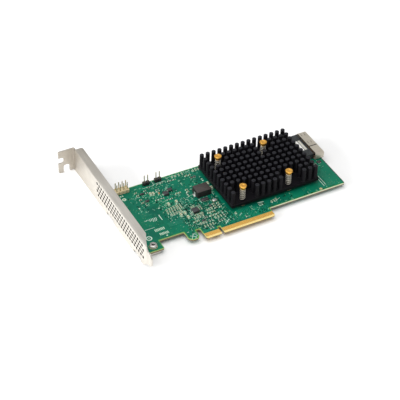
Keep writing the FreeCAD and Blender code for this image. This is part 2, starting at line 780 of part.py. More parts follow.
def make_socket():
    """Right-angle cable socket: moulded housing, folded shell, contacts and rear plate."""
    start = SHELL_START
    low = "Size.socket_low"
    high = "(Size.socket_low + Size.socket_width)"
    thick = "Size.shell_thick"

    shell = new_body("socket_shell")
    tube = new_sketch(shell, "shell_tube", "YZ_Plane", start)
    draw_box(tube, low, high, ZERO, "Size.socket_height")
    draw_box(tube, f"{low} + {thick}", f"{high} - {thick}", thick, f"Size.socket_height - {thick}")
    pad(shell, tube, "Size.shell_reach")
    slit = new_sketch(shell, "shell_slit", "XY_Plane", "Size.socket_height")
    draw_box(
        slit, f"{start} - 1", f"{start} + Size.shell_reach - 1.2",
        f"{low} + Size.slit_level", f"{low} + Size.slit_level + Size.shell_slit",
    )
    pocket(shell, slit, thick)

    housing = new_body("socket_housing")
    back = HOUSING_START
    block_low = f"({low} + Size.housing_inset)"
    window_low = f"({block_low} + Size.window_start)"
    window_high = f"({window_low} + Size.window_width)"
    wall = f"({start} - Size.housing_wall)"
    plan = new_sketch(housing, "housing_plan", "XY_Plane")
    draw_outline(plan, (
        (back, block_low), (start, block_low), (start, high), (back, high),
        (back, window_high), (wall, window_high), (wall, window_low), (back, window_low),
    ))
    pad(housing, plan, "Size.housing_height")
    paddle = new_sketch(housing, "housing_paddle", "YZ_Plane", f"{start} - Size.housing_wall / 2")
    middle = "(Size.socket_height / 2)"
    draw_box(
        paddle, f"{low} + Size.paddle_inset", f"{high} - Size.paddle_inset",
        f"{middle} - Size.paddle_thick / 2", f"{middle} + Size.paddle_thick / 2",
    )
    pad(housing, paddle, "Size.paddle_reach + Size.housing_wall / 2")

    count = int((S.socket_width - 2 * S.paddle_inset) / S.paddle_pitch) - 1
    first = S.socket_low + S.socket_width / 2 - (count - 1) * S.paddle_pitch / 2
    levels = (
        S.socket_height / 2 - S.paddle_thick / 2 - S.contact_thick,
        S.socket_height / 2 + S.paddle_thick / 2,
    )
    contacts = [
        block(
            S.paddle_reach - 0.6, S.paddle_contact, S.contact_thick,
            read(start), first + index * S.paddle_pitch - S.paddle_contact / 2, level,
        )
        for level in levels for index in range(count)
    ]
    group("socket_contacts", contacts)

    plate = new_body("socket_rear_plate")
    side = new_sketch(plate, "plate_side", "XZ_Plane", f"-({window_low})")
    flat_end = f"({wall} - Size.plate_reach)"
    draw_outline(side, (
        (wall, "Size.plate_level"),
        (wall, "Size.plate_level + Size.plate_thick"),
        (flat_end, "Size.plate_level + Size.plate_thick"),
        (f"{back} + 0.3", "Size.plate_thick"),
        (f"{back} - 0.9", "Size.plate_thick"),
        (f"{back} - 0.9", ZERO),
        (f"{back} + 0.45", ZERO),
        (f"{flat_end} + 0.1", "Size.plate_level"),
    ))
    feature = pad(plate, side, "Size.window_width")
    feature.Reversed = True


# --- pin headers ------------------------------------------------------------------------------------


def make_header(label, left, low, length, depth, pins):
    """Moulded header body with a square hole for each pin."""
    body = new_body(label)
    plan = new_sketch(body, f"{label}_plan", "XY_Plane")
    draw_box(plan, left, f"{left} + {length}", low, f"{low} + {depth}")
    pad(body, plan, "Size.header_height")
    holes = new_sketch(body, f"{label}_holes", "XY_Plane", "Size.header_height")
    for across, along in pins:
        draw_box(
            holes, f"{across} - Size.pin_side / 2", f"{across} + Size.pin_side / 2",
            f"{along} - Size.pin_side / 2", f"{along} + Size.pin_side / 2",
        )
    pocket(body, holes)
    corners = [
        (read(left), read(low)), (read(f"{left} + {length}"), read(low)),
        (read(left), read(f"{low} + {depth}")), (read(f"{left} + {length}"), read(f"{low} + {depth}")),
    ]
    doc.recompute()
    base = body.Tip
    picked = [
        f"Edge{index}" for index, edge in enumerate(base.Shape.Edges, start=1) if upright(edge, corners)
    ]
    chamfer = body.newObject("PartDesign::Chamfer", f"{label}_corners")
    chamfer.Base = (base, picked)
    chamfer.setExpression("Size", "Size.pin_side")
    body.Tip = chamfer
    return body


def make_pins(label, places):
    """Square header pins through the board, with pointed tops."""
    solids = []
    point = S.pin_side / 3
    for across, along in places:
        x, y = read(across) - S.pin_side / 2, read(along) - S.pin_side / 2
        shank = block(S.pin_side, S.pin_side, S.pin_tail + S.pin_top - point, x, y, -S.pin_tail)
        tip = Part.makeWedge(
            0, 0, 0, point / 2, point / 2, S.pin_side, point, S.pin_side,
            S.pin_side - point / 2, S.pin_side - point / 2,
        )
        tip.rotate(Vector(0, 0, 0), Vector(1, 0, 0), 90)
        tip.translate(Vector(x, y + S.pin_side, S.pin_top - point))
        solids.append(shank.fuse(tip).removeSplitter())
    return group(label, solids)


# --- power parts and small chips --------------------------------------------------------------------


def make_inductor():
    """Moulded power inductor with a folded terminal at each end."""
    body = new_body("power_inductor")
    plan = new_sketch(body, "inductor_plan", "XY_Plane")
    right = "(Size.coil_left + Size.coil_length)"
    back = "(Size.coil_front + Size.coil_depth)"
    draw_box(plan, "Size.coil_left", right, "Size.coil_front", back)
    pad(body, plan, "Size.coil_height")
    corners = [
        (S.coil_left, S.coil_front), (read(right), S.coil_front),
        (S.coil_left, read(back)), (read(right), read(back)),
    ]
    round_edges(body, "inductor_rounds", "Size.coil_round", lambda edge: upright(edge, corners))
    low = S.coil_front + (S.coil_depth - S.leg_width) / 2
    legs = []
    for side, foot in ((S.coil_left, -1), (read(right), 1)):
        x = side - S.leg_thick if foot < 0 else side
        upright_part = block(S.leg_thick, S.leg_width, S.leg_rise, x, low, 0)
        toe_x = x - 1 if foot < 0 else x + S.leg_thick
        toe = block(1, S.leg_width, S.leg_thick, toe_x, low, 0)
        legs.append(upright_part.fuse(toe).removeSplitter())
    group("power_inductor_terminals", legs)


# small moulded parts: centre X, centre Y, length, width, height
MOULDED_PARTS = {
    "buck_inductor": ((-6.7, 26.9, 4.4, 4.2, 2.0),),
    "supply_inductors": ((-16.5, 51.4, 3.6, 3.4, 1.8), (-12.4, 53.9, 3.2, 2.6, 1.4)),
    "small_transistors": (
        (-31.0, 58.2, 2.9, 1.6, 1.1), (-31.0, 50.2, 2.9, 1.6, 1.1), (4.6, 27.2, 1.6, 2.0, 1.0),
        (7.1, 59.6, 1.4, 1.4, 0.7), (9.3, 59.6, 1.4, 1.4, 0.7), (-6.4, 16.2, 2.0, 1.6, 0.8),
    ),
    "flash_chip": ((4.4, 34.8, 5.0, 3.0, 1.0),),
    "clock_crystal": ((10.0, 31.2, 3.2, 2.5, 0.8),),
    "status_led": ((-20.2, 54.2, 0.9, 1.6, 0.7),),
    "line_driver": ((94.2, 35.2, 3.0, 2.2, 0.9),),
}

# rows of like chips: centre of the first, step to the next, how many, turned upright or not
BLOCK_ROWS = (
    (-25.9, 55.6, 1.9, -0.4, 2, True), (-19.6, 40.9, 5.8, 0.0, 2, True),
    (-17.0, 27.6, 3.0, 0.2, 2, True), (-13.8, 23.4, 0.0, 0.0, 1, True),
    (14.2, 43.6, 0.0, 0.0, 1, True), (13.9, 48.6, 0.0, 0.0, 1, True),
)
CAPACITOR_ROWS = (
    (-34.4, 61.0, 0.0, -3.0, 2, False), (-34.4, 53.2, 0.0, -3.3, 2, False),
    (-23.6, 36.0, 1.9, 0.3, 5, True), (-24.0, 33.2, 1.9, 0.3, 5, True),
    (-22.4, 30.6, 1.9, 0.1, 4, True), (-15.0, 37.4, 0.0, -2.3, 4, True),
    (-13.2, 37.0, 0.0, -2.3, 2, True),
    (-7.4, 31.2, 1.7, 0.5, 2, True), (-3.4, 28.0, 1.6, -0.2, 2, True),
    (-12.2, 17.2, 2.4, 0.0, 2, False), (-10.4, 20.6, 2.1, 0.2, 4, True),
    (-9.4, 14.0, 2.0, 0.0, 3, True), (-8.2, 23.2, 2.2, 0.0, 3, False),
    (0.8, 24.4, 1.8, 0.2, 3, True), (0.2, 21.4, 2.0, 0.0, 3, False),
    (7.2, 28.2, 0.0, -2.1, 3, False), (10.4, 27.8, 0.0, -2.1, 3, False),
    (0.4, 18.2, 2.4, 0.0, 3, False), (-8.0, 10.6, 2.0, 0.0, 4, True),
    (2.2, 15.4, 2.1, 0.0, 3, True), (-4.6, 65.8, 2.6, 0.0, 4, True),
    (11.6, 65.6, 1.9, 0.0, 3, True), (4.6, 62.4, 2.4, 0.0, 2, False),
    (-9.8, 48.6, 2.3, 0.0, 2, False), (-2.0, 49.2, 0.0, -2.2, 2, False),
    (88.4, 38.2, 0.0, -2.0, 2, False), (16.4, 13.2, 0.0, 0.0, 1, True),
    (43.6, 12.8, 2.0, 0.5, 3, True),
)
RESISTOR_ROWS = (
    (-27.6, 60.8, 0.0, -2.6, 2, False), (-33.0, 47.2, 0.0, 0.0, 1, True),
    (-24.8, 48.6, 2.3, 0.0, 3, False), (-17.6, 45.6, 2.4, 0.0, 2, False),
    (-10.6, 25.4, 0.0, 0.0, 1, True), (-3.2, 30.8, 1.6, 0.0, 2, True),
    (8.8, 18.6, 0.0, -2.2, 3, True), (-4.2, 18.6, 1.7, 0.0, 2, True),
    (-5.6, 7.6, 1.9, 0.0, 2, True), (3.0, 11.4, 1.9, 0.0, 3, True),
    (-2.6, 14.4, 1.8, 0.0, 2, True), (-3.4, 45.4, 0.0, -2.0, 2, True),
    (-24.0, 63.4, 0.0, 0.0, 1, False), (-16.4, 63.4, 2.4, 0.0, 2, False),
    (-8.6, 62.8, 2.2, 0.0, 3, False), (-20.6, 57.4, 1.8, 0.0, 2, True),
    (34.8, 13.6, 1.9, 0.3, 2, True), (21.2, 7.6, 0.0, 0.0, 1, True),
    (90.8, 34.6, 0.0, 0.0, 1, False),
)


def make_rows(label, rows, length, width, height):
    """Rows of like chips standing on the board."""
    solids = []
    for x, y, step_x, step_y, count, turned in rows:
        size_x, size_y = (width, length) if turned else (length, width)
        for index in range(count):
            middle_x, middle_y = x + index * step_x, y + index * step_y
            solids.append(block(size_x, size_y, height, middle_x - size_x / 2, middle_y - size_y / 2, 0))
    return group(label, solids)


def make_moulded_parts():
    """Small inductors, transistors and chips, each set flat on the board."""
    for label, parts in MOULDED_PARTS.items():
        group(label, [
            block(length, width, height, x - length / 2, y - width / 2, 0)
            for x, y, length, width, height in parts
        ])


# --- build, check and write ---------------------------------------------------------------------------

make_board()
make_contacts("edge_contacts_front", 0.0)
make_contacts("edge_contacts_back", -S.board_thick - S.contact_thick)
make_bracket()
make_screws()
make_heat_sink()
make_push_pins()
make_springs()
make_chip()
make_socket()
SERVICE_LEFT = "(-Size.service_right - 4 * Size.header_pitch)"
make_header(
    "service_header", SERVICE_LEFT, "Size.service_low",
    "4 * Size.header_pitch", "2 * Size.header_pitch", SERVICE_PINS,
)
make_pins("service_header_pins", SERVICE_PINS)
for number, side in enumerate(("left", "right")):
    make_header(
        f"{side}_jumper_header", f"(-Size.{side}_jumper - Size.header_pitch)", "Size.jumper_low",
        "2 * Size.header_pitch", "Size.header_pitch", JUMPER_PINS[2 * number:2 * number + 2],
    )
    make_pins(f"{side}_jumper_pins", JUMPER_PINS[2 * number:2 * number + 2])
make_inductor()
make_moulded_parts()
make_rows("block_capacitors", BLOCK_ROWS, S.block_length, S.block_width, S.block_height)
make_rows("chip_capacitors", CAPACITOR_ROWS, S.grain_length, S.grain_width, S.grain_height)
make_rows("chip_resistors", RESISTOR_ROWS, S.grain_length, S.grain_width, S.resistor_height)
doc.recompute()

failed = [item.Label for item in doc.Objects if {"Invalid", "Error"} & set(item.State)]
if failed:
    raise RuntimeError(f"failed objects: {failed}")

os.makedirs("parts", exist_ok=True)
for item in doc.Objects:
    if item.TypeId not in ("PartDesign::Body", "Part::Box", "Part::Feature"):
        continue
    shape = item.Shape
    if shape.isNull() or not shape.isValid() or not shape.Solids:
        raise RuntimeError(f"{item.Label} has no sound shape")
    shape.exportStep(os.path.join("parts", f"{item.Label}.step"))
    print(f"{item.Label}: {len(shape.Solids)} solids, {shape.Volume:.2f} mm3")
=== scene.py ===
import math
import random

import bmesh
import bpy
from mathutils import Matrix, Vector, geometry


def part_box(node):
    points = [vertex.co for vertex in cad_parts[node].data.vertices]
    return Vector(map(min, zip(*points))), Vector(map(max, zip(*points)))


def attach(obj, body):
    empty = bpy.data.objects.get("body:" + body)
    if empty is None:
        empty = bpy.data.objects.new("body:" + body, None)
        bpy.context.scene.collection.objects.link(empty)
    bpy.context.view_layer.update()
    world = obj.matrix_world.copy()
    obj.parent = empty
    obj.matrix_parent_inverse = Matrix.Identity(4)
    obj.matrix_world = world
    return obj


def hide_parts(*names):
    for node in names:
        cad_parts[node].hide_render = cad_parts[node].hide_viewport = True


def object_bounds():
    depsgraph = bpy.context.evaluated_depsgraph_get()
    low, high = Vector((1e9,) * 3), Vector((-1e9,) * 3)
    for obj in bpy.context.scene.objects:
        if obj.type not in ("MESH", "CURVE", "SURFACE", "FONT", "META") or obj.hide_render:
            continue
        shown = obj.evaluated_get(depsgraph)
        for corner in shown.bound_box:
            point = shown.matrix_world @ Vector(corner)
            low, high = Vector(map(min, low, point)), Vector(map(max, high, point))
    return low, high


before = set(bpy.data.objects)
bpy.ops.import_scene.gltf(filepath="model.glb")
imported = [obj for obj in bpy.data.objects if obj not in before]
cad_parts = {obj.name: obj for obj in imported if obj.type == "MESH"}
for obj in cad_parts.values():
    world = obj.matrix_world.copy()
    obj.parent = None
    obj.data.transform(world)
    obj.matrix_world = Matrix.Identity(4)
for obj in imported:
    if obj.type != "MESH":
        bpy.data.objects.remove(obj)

bl_info = {
    "name": "Storage controller card dressing",
    "version": (1, 0, 0),
    "blender": (4, 5, 0),
    "location": "View3D > Sidebar > Card",
    "description": "Builds the detailed pieces, finishes and stage of a plug-in controller card",
    "category": "Object",
}

MM = 0.001
CAD_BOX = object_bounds()

# sizes in millimetres that several builders share
BOARD_THICK = 1.57
COAT_LOW = -0.005
PAD_LOW, PAD_HIGH = -0.01, 0.05
LINE_HIGH = 0.012
EXTRA_HOLE = (-43.9, 58.8)
WIRE, COIL = 0.21, 1.76  # radii of a spring's wire and of its turns
MARK_RING = (-46.2, 16.4)
TAB_LEFT, TAB_RIGHT, TAB_TOP = -12.3, 39.3, 4.75
BEVEL = 1.3

# the camera's place in metres and its turn in radians
CAMERA_PLACE = (-0.342689, -0.594762, 0.607299)
CAMERA_TURN = (0.86893002, -0.01869480, -0.48366247)

# depths in metres of the finishes' bumps
GRAIN_DEPTH = 0.00001
BRUSH_DEPTH = 0.000006


# --- settings ---------------------------------------------------------------------------------


def length(name, description, default):
    """A length property in metres."""
    return bpy.props.FloatProperty(
        name=name, description=description, default=default, unit="LENGTH", min=0.0, precision=5
    )


def tone(name, description, default):
    """A colour property, in linear light."""
    return bpy.props.FloatVectorProperty(
        name=name, description=description, default=default, subtype="COLOR", min=0.0, max=1.0
    )


class FinishSettings(bpy.types.PropertyGroup):
    """Colours of the main finishes; noise mixes each pair or trio."""

    mask_deep: tone("Mask, deep", "Darkest solder mask over copper", (0.000, 0.092, 0.052))
    mask_plain: tone("Mask, plain", "Usual solder mask", (0.000, 0.118, 0.066))
    mask_pale: tone("Mask, pale", "Palest solder mask", (0.001, 0.145, 0.080))
    bracket_deep: tone("Bracket, deep", "Darker streaks of the bracket", (0.58, 0.55, 0.50))
    bracket_pale: tone("Bracket, pale", "Paler streaks of the bracket", (0.70, 0.67, 0.61))
    sink_deep: tone("Heat sink, deep", "Darker patches of the heat sink", (0.002, 0.002, 0.003))
    sink_pale: tone("Heat sink, pale", "Paler patches of the heat sink", (0.005, 0.004, 0.006))
    gold_deep: tone("Contacts, deep", "Darker patches of the contacts", (0.70, 0.34, 0.04))
    gold_pale: tone("Contacts, pale", "Paler patches of the contacts", (0.92, 0.52, 0.12))
    brass_deep: tone("Push-pins, deep", "Darker patches of the push-pins", (0.78, 0.36, 0.05))
    brass_pale: tone("Push-pins, pale", "Paler patches of the push-pins", (0.95, 0.55, 0.12))
    header_deep: tone("Pale header, deep", "Darker patches of the pale header", (0.52, 0.43, 0.25))
    header_pale: tone("Pale header, pale", "Paler patches of the pale header", (0.70, 0.60, 0.39))


class BracketSettings(bpy.types.PropertyGroup):
    """Sizes of the folded bracket that the solids leave simple."""

    sheet: length("Sheet", "Thickness of the bracket's sheet", 0.0009)
    bend: length("Bend", "Radius of the sheet's middle round a bend", 0.0006)
    vent: length("Vent", "Radius of the vent holes", 0.00109)
    vent_sides: bpy.props.IntProperty(
        name="Vent sides", description="Corners of each vent hole", default=20, min=8
    )


class BoardSettings(bpy.types.PropertyGroup):
    """Sizes of the board's printed and plated details."""

    rim: length("Rim", "Bare laminate along the board's edge", 0.00055)
    ink: length("Ink", "Height of the printed marks", 0.00002)
    trace: length("Trace", "Width of the copper lines under the mask", 0.00022)
    via: length("Via", "Radius of the small plated holes", 0.00022)
    seed: bpy.props.IntProperty(
        name="Seed", description="Seed for the scattered small holes", default=7
    )


class SinkSettings(bpy.types.PropertyGroup):
    """Sizes of the heat sink's pins."""

    sides: bpy.props.IntProperty(name="Sides", description="Facets round a pin", default=20, min=8)
    draft: length("Draft", "How much thinner a pin is at its top", 0.00012)
    edge: length("Edge", "Rounding at the top of a pin", 0.00018)
    fillet: length("Fillet", "Rounding where a pin leaves the base", 0.00045)


class ChipSettings(bpy.types.PropertyGroup):
    """Sizes shared by the small soldered parts."""

    edge: length("Edge", "Rounding of the moulded parts", 0.00012)
    plating: bpy.props.FloatProperty(
        name="Plating", description="Part of a chip's length that is tinned, at each end",
        default=0.22, min=0.05, max=0.45, subtype="FACTOR",
    )


class StageSettings(bpy.types.PropertyGroup):
    """Lights, floor and camera."""

    key: bpy.props.FloatProperty(name="Key", description="Power of the large light", default=9.0)
    fill: bpy.props.FloatProperty(name="Fill", description="Power of the front light", default=12.0)
    sky: bpy.props.FloatProperty(name="Sky", description="Strength of the surround", default=0.5)
    lens: bpy.props.FloatProperty(name="Lens", description="Focal length in millimetres", default=126.203)


SETTINGS = {
    "card_finishes": FinishSettings,
    "card_bracket": BracketSettings,
    "card_board": BoardSettings,
    "card_sink": SinkSettings,
    "card_chips": ChipSettings,
    "card_stage": StageSettings,
}


# --- finishes ---------------------------------------------------------------------------------


class Shader:
    """A small helper that wires one Principled material from object-space textures."""

    def __init__(self, name, rough, metal=0.0, **values):
        self.material = bpy.data.materials.new(name)
        self.material.use_nodes = True
        self.tree = self.material.node_tree
        self.shader = self.tree.nodes["Principled BSDF"]
        self.shader.inputs["Roughness"].default_value = rough
        self.shader.inputs["Metallic"].default_value = metal
        for key, value in values.items():
            self.shader.inputs[key.replace("_", " ")].default_value = value
        self.place = self.add("ShaderNodeTexCoord").outputs["Object"]

    def add(self, kind, **settings):
        """Add a node and set its own options."""
        node = self.tree.nodes.new(kind)
        for key, value in settings.items():
            setattr(node, key, value)
        return node

    def link(self, source, target):
        """Join two sockets."""
        self.tree.links.new(source, target)

    def feed(self, value, socket):
        """Link a socket, or set a plain number or colour."""
        if hasattr(value, "node"):
            self.link(value, socket)
        else:
            socket.default_value = tuple(value) + (1.0,) if socket.type == "RGBA" else value

    def stretched(self, scale, turn=0.0):
        """Object coordinates scaled apart along each axis."""
        mapping = self.add("ShaderNodeMapping")
        mapping.inputs["Scale"].default_value = scale
        mapping.inputs["Rotation"].default_value = (0.0, 0.0, turn)
        self.link(self.place, mapping.inputs["Vector"])
        return mapping.outputs["Vector"]

    def noise(self, scale, detail=3.0, stretch=None, turn=0.0):
        """Noise in the object's own space; scale is in features per metre."""
        node = self.add("ShaderNodeTexNoise")
        node.inputs["Scale"].default_value = scale
        node.inputs["Detail"].default_value = detail
        source = self.stretched(stretch, turn) if stretch else self.place
        self.link(source, node.inputs["Vector"])
        return node.outputs["Fac"]

    def streaked(self, stretch):
        """Streaks along the axis that is stretched least, and the same with soft clouds in them."""
        streaks = self.noise(1.0, 4.0, stretch)
        clouds = self.noise(120.0, 2.0)
        shares = self.math("MULTIPLY", streaks, 0.6), self.math("MULTIPLY", clouds, 0.4)
        return streaks, self.math("ADD", *shares)

    def ramp(self, factor, stops):
        """Colours along a factor."""
        node = self.add("ShaderNodeValToRGB")
        elements = node.color_ramp.elements
        while len(elements) < len(stops):
            elements.new(0.5)
        for element, (position, color) in zip(elements, stops):
            element.position = position
            element.color = tuple(color) + (1.0,)
        self.link(factor, node.inputs["Fac"])
        return node.outputs["Color"]

    def mix(self, factor, first, second):
        """Mix two colours; either may be a socket or a plain colour."""
        node = self.add("ShaderNodeMix", data_type="RGBA")
        for value, key in ((factor, "Factor"), (first, 6), (second, 7)):
            self.feed(value, node.inputs[key])
        return node.outputs[2]

    def math(self, operation, first, second=0.0):
        """One arithmetic step."""
        node = self.add("ShaderNodeMath", operation=operation)
        self.feed(first, node.inputs[0])
        self.feed(second, node.inputs[1])
        return node.outputs[0]

    def axis(self, letter):
        """One object coordinate in metres."""
        node = self.add("ShaderNodeSeparateXYZ")
        self.link(self.place, node.inputs[0])
        return node.outputs[letter]

    def reach(self, letter, start, end, most=1.0):
        """Grow from nothing to a share between two places along an axis."""
        place = self.axis(letter)
        node = self.add("ShaderNodeMapRange", clamp=True)
        for key, value in (("From Min", start), ("From Max", end), ("To Min", 0.0), ("To Max", most)):
            node.inputs[key].default_value = value
        self.link(place, node.inputs["Value"])
        return node.outputs["Result"]

    def color(self, socket):
        """Use a socket as the surface colour."""
        self.link(socket, self.shader.inputs["Base Color"])

    def rough(self, factor, low, high):
        """Vary the roughness between two values."""
        node = self.add("ShaderNodeMapRange")
        node.inputs["To Min"].default_value = low
        node.inputs["To Max"].default_value = high
        self.link(factor, node.inputs["Value"])
        self.link(node.outputs["Result"], self.shader.inputs["Roughness"])

    def bump(self, height, distance, strength=1.0):
        """Raise the surface by a height socket; distance is in metres."""
        node = self.add("ShaderNodeBump")
        node.inputs["Distance"].default_value = distance
        node.inputs["Strength"].default_value = strength
        self.link(height, node.inputs["Height"])
        self.link(node.outputs["Normal"], self.shader.inputs["Normal"])


FINISHES = {}


def plain_finish(name, dark, light, rough, metal=0.0, scale=900.0, grain=6000.0, **values):
    """A mottled finish: two close colours, uneven gloss and a fine grain."""
    made = Shader(name, rough, metal, **values)
    patches = made.noise(scale)
    made.color(made.ramp(patches, ((0.3, dark), (0.7, light))))
    made.rough(made.noise(scale * 0.6), rough * 0.85, min(1.0, rough * 1.2))
    made.bump(made.noise(grain, 2.0), GRAIN_DEPTH, 0.5)
    FINISHES[name] = made.material


def brushed_finish(name, dark, light, rough, stretch, metal=1.0):
    """Rolled or brushed metal, with streaks along the axis that is stretched least."""
    made = Shader(name, rough, metal)
    streaks, both = made.streaked(stretch)
    made.color(made.ramp(both, ((0.32, dark), (0.68, light))))
    made.rough(streaks, rough * 0.8, rough * 1.25)
    made.bump(streaks, BRUSH_DEPTH, 0.6)
    FINISHES[name] = made.material


def mask_finish(tones):
    """Green solder mask over copper: pours, plain mask and fine lines showing through, with patches of
    painted shade over the crowded middle of the board.
    """
    made = Shader("solder_mask", 0.36, 0.0, Specular_IOR_Level=0.15)
    pours = made.add("ShaderNodeTexVoronoi", distance="CHEBYCHEV", feature="F1")
    pours.inputs["Scale"].default_value = 150.0
    made.link(made.place, pours.inputs["Vector"])
    pour_tint = made.ramp(pours.outputs["Color"], (
        (0.25, tones.mask_deep), (0.5, tones.mask_plain), (0.75, tones.mask_pale),
    ))
    clouds = made.noise(55.0, 3.0)
    cloud_tint = made.ramp(clouds, ((0.35, (0.000, 0.084, 0.060)), (0.65, (0.001, 0.155, 0.074))))
    color = made.mix(0.55, pour_tint, cloud_tint)
    lines = None
    for turn in (0.0, math.pi / 4, math.pi / 2):
        wave = made.add("ShaderNodeTexWave", wave_type="BANDS", bands_direction="X")
        wave.inputs["Scale"].default_value = 520.0
        wave.inputs["Distortion"].default_value = 0.0
        made.link(made.stretched((1.0, 1.0, 1.0), turn), wave.inputs["Vector"])
        area = made.noise(90.0 + 30.0 * turn, 1.0)
        chosen = made.math("GREATER_THAN", area, 0.56)
        line = made.math("MULTIPLY", made.math("GREATER_THAN", wave.outputs["Fac"], 0.6), chosen)
        lines = line if lines is None else made.math("MAXIMUM", lines, line)
    color = made.mix(made.math("MULTIPLY", lines, 0.30), color, (0.004, 0.230, 0.125))
    # painted shade: random dark patches over the crowded middle of the board, where shade falls between the
    # parts
    painted_shade_patches = made.math("GREATER_THAN", made.noise(800.0, 1.5), 0.53)
    for letter, low, high in (("X", -0.019, 0.0135), ("Y", 0.0078, 0.036)):
        place = made.axis(letter)
        above, below = made.math("GREATER_THAN", place, low), made.math("LESS_THAN", place, high)
        painted_shade_patches = made.math("MULTIPLY", painted_shade_patches, made.math("MULTIPLY", above, below))
    color = made.mix(made.math("MULTIPLY", painted_shade_patches, 0.7), color, (0.000, 0.020, 0.016))
    near_bracket = made.reach("X", -0.030, -0.048, 0.55)
    paler = made.math("MAXIMUM", near_bracket, made.reach("X", 0.082, 0.096, 0.6))
    color = made.mix(paler, color, (0.006, 0.165, 0.095))
    made.color(color)
    made.rough(made.noise(700.0), 0.30, 0.46)
    made.bump(lines, 0.00002, 0.35)
    FINISHES["solder_mask"] = made.material


def laminate_finish():
    """Cut edge of the board: woven glass in resin, pale near both faces and brown between."""
    made = Shader("laminate", 0.62)
    level = made.reach("Z", -BOARD_THICK * MM, 0.0)
    layers = made.ramp(level, (
        (0.0, (0.16, 0.14, 0.06)), (0.20, (0.13, 0.060, 0.035)), (0.55, (0.18, 0.085, 0.05)),
        (0.68, (0.40, 0.46, 0.14)), (1.0, (0.50, 0.60, 0.22)),
    ))
    pale_layers = made.ramp(level, (
        (0.0, (0.16, 0.12, 0.07)), (0.16, (0.15, 0.075, 0.04)), (0.34, (0.20, 0.12, 0.07)),
        (0.46, (0.66, 0.66, 0.46)), (1.0, (0.80, 0.80, 0.62)),
    ))
    right = made.math("GREATER_THAN", made.axis("X"), 0.0395)
    weave = made.noise(1.0, 2.0, (900.0, 900.0, 5200.0))
    layers = made.mix(right, layers, pale_layers)
    made.color(made.mix(made.math("MULTIPLY", weave, 0.22), layers, (0.55, 0.56, 0.36)))
    made.bump(weave, 0.00003, 0.5)
    FINISHES["laminate"] = made.material


def rim_finish():
    """Mask over bare laminate: the pale green margin along the board's edge."""
    made = Shader("board_rim", 0.36, 0.0, Coat_Weight=0.2)
    green = made.ramp(made.noise(260.0), ((0.3, (0.030, 0.190, 0.030)), (0.7, (0.110, 0.340, 0.060))))
    far = made.math("GREATER_THAN", made.axis("X"), 0.0977)
    made.color(made.mix(far, green, (0.002, 0.035, 0.018)))
    made.bump(made.noise(3000.0), 0.00001, 0.4)
    FINISHES["board_rim"] = made.material


def bracket_finish(tones):
    """Plated sheet steel, with painted shade darkening it towards the screw tab."""
    made = Shader("bracket_steel", 0.34, 0.85)
    streaks, both = made.streaked((2500.0, 60.0, 2500.0))
    plated = made.ramp(both, ((0.32, tones.bracket_deep), (0.68, tones.bracket_pale)))
    # painted shade: the steel is mixed darker towards the screw tab, where less light reaches it
    painted_tab_shade = made.ramp(both, ((0.32, (0.36, 0.32, 0.27)), (0.68, (0.46, 0.42, 0.36))))
    made.color(made.mix(made.reach("Y", 0.058, 0.112, 0.72), plated, painted_tab_shade))
    made.rough(streaks, 0.27, 0.43)
    made.bump(streaks, BRUSH_DEPTH, 0.6)
    FINISHES["bracket_steel"] = made.material


PLAIN_FINISHES = (
    # name, dark, light, roughness, then if need be metal, mottling and grain per metre
    ("bare_laminate", (0.64, 0.47, 0.15), (0.80, 0.63, 0.25), 0.5),
    ("tab_laminate", (0.30, 0.25, 0.07), (0.44, 0.35, 0.12), 0.5),
    ("pad_gold", (0.62, 0.50, 0.24), (0.84, 0.74, 0.44), 0.35, 0.7),
    ("solder", (0.34, 0.50, 0.38), (0.66, 0.82, 0.64), 0.32, 0.1, 1600.0),
    ("white_ink", (0.38, 0.55, 0.45), (0.66, 0.76, 0.68), 0.7, 0.0, 2600.0),
    # walls of the bracket's vent holes: painted shade, dark where little light gets into the holes
    ("vent_walls", (0.006, 0.005, 0.004), (0.024, 0.018, 0.014), 0.6, 0.2, 900.0),
    ("shank_steel", (0.12, 0.11, 0.09), (0.24, 0.22, 0.18), 0.4, 0.5),
    ("substrate_green", (0.010, 0.10, 0.035), (0.02, 0.16, 0.06), 0.4),
    ("lid_metal", (0.42, 0.42, 0.42), (0.60, 0.60, 0.60), 0.35, 0.9),
    ("pad_grey", (0.30, 0.33, 0.37), (0.42, 0.45, 0.50), 0.85),
    ("housing_grey", (0.016, 0.020, 0.021), (0.034, 0.040, 0.042), 0.48, 0.0, 500.0, 7000.0),
    ("header_black", (0.010, 0.010, 0.011), (0.024, 0.024, 0.026), 0.45),
    ("pin_gold", (0.46, 0.38, 0.20), (0.72, 0.62, 0.38), 0.3, 0.8),
    ("inductor_side", (0.005, 0.006, 0.005), (0.014, 0.012, 0.012), 0.5, 0.0, 2400.0),
    # the inductor's top is painted paler than its sides: painted light from above
    ("inductor_top", (0.024, 0.020, 0.018), (0.048, 0.040, 0.036), 0.5, 0.0, 2400.0),
    ("chip_black", (0.016, 0.016, 0.017), (0.045, 0.045, 0.047), 0.45, 0.0, 1800.0),
    ("capacitor_tan", (0.10, 0.115, 0.055), (0.24, 0.25, 0.13), 0.38, 0.0, 2600.0),
    ("resistor_black", (0.012, 0.012, 0.014), (0.040, 0.042, 0.046), 0.3, 0.0, 2600.0),
    ("floor_white", (0.90, 0.90, 0.90), (0.92, 0.92, 0.915), 0.8, 0.0, 6.0, 400.0),
    ("board_trace", (0.002, 0.155, 0.086), (0.004, 0.205, 0.112), 0.36, 0.0, 600.0),
    ("via_rings", (0.02, 0.14, 0.07), (0.10, 0.22, 0.11), 0.4, 0.1, 1500.0),
    # dark seams and slits on the socket, and painted shade in the screws' cross recesses
    ("recess_dark", (0.012, 0.011, 0.010), (0.030, 0.028, 0.025), 0.6),
    ("capacitor_cream", (0.24, 0.23, 0.13), (0.42, 0.40, 0.25), 0.4, 0.0, 1200.0),
    ("pale_marks", (0.16, 0.42, 0.27), (0.50, 0.72, 0.54), 0.5, 0.0, 2600.0),
)

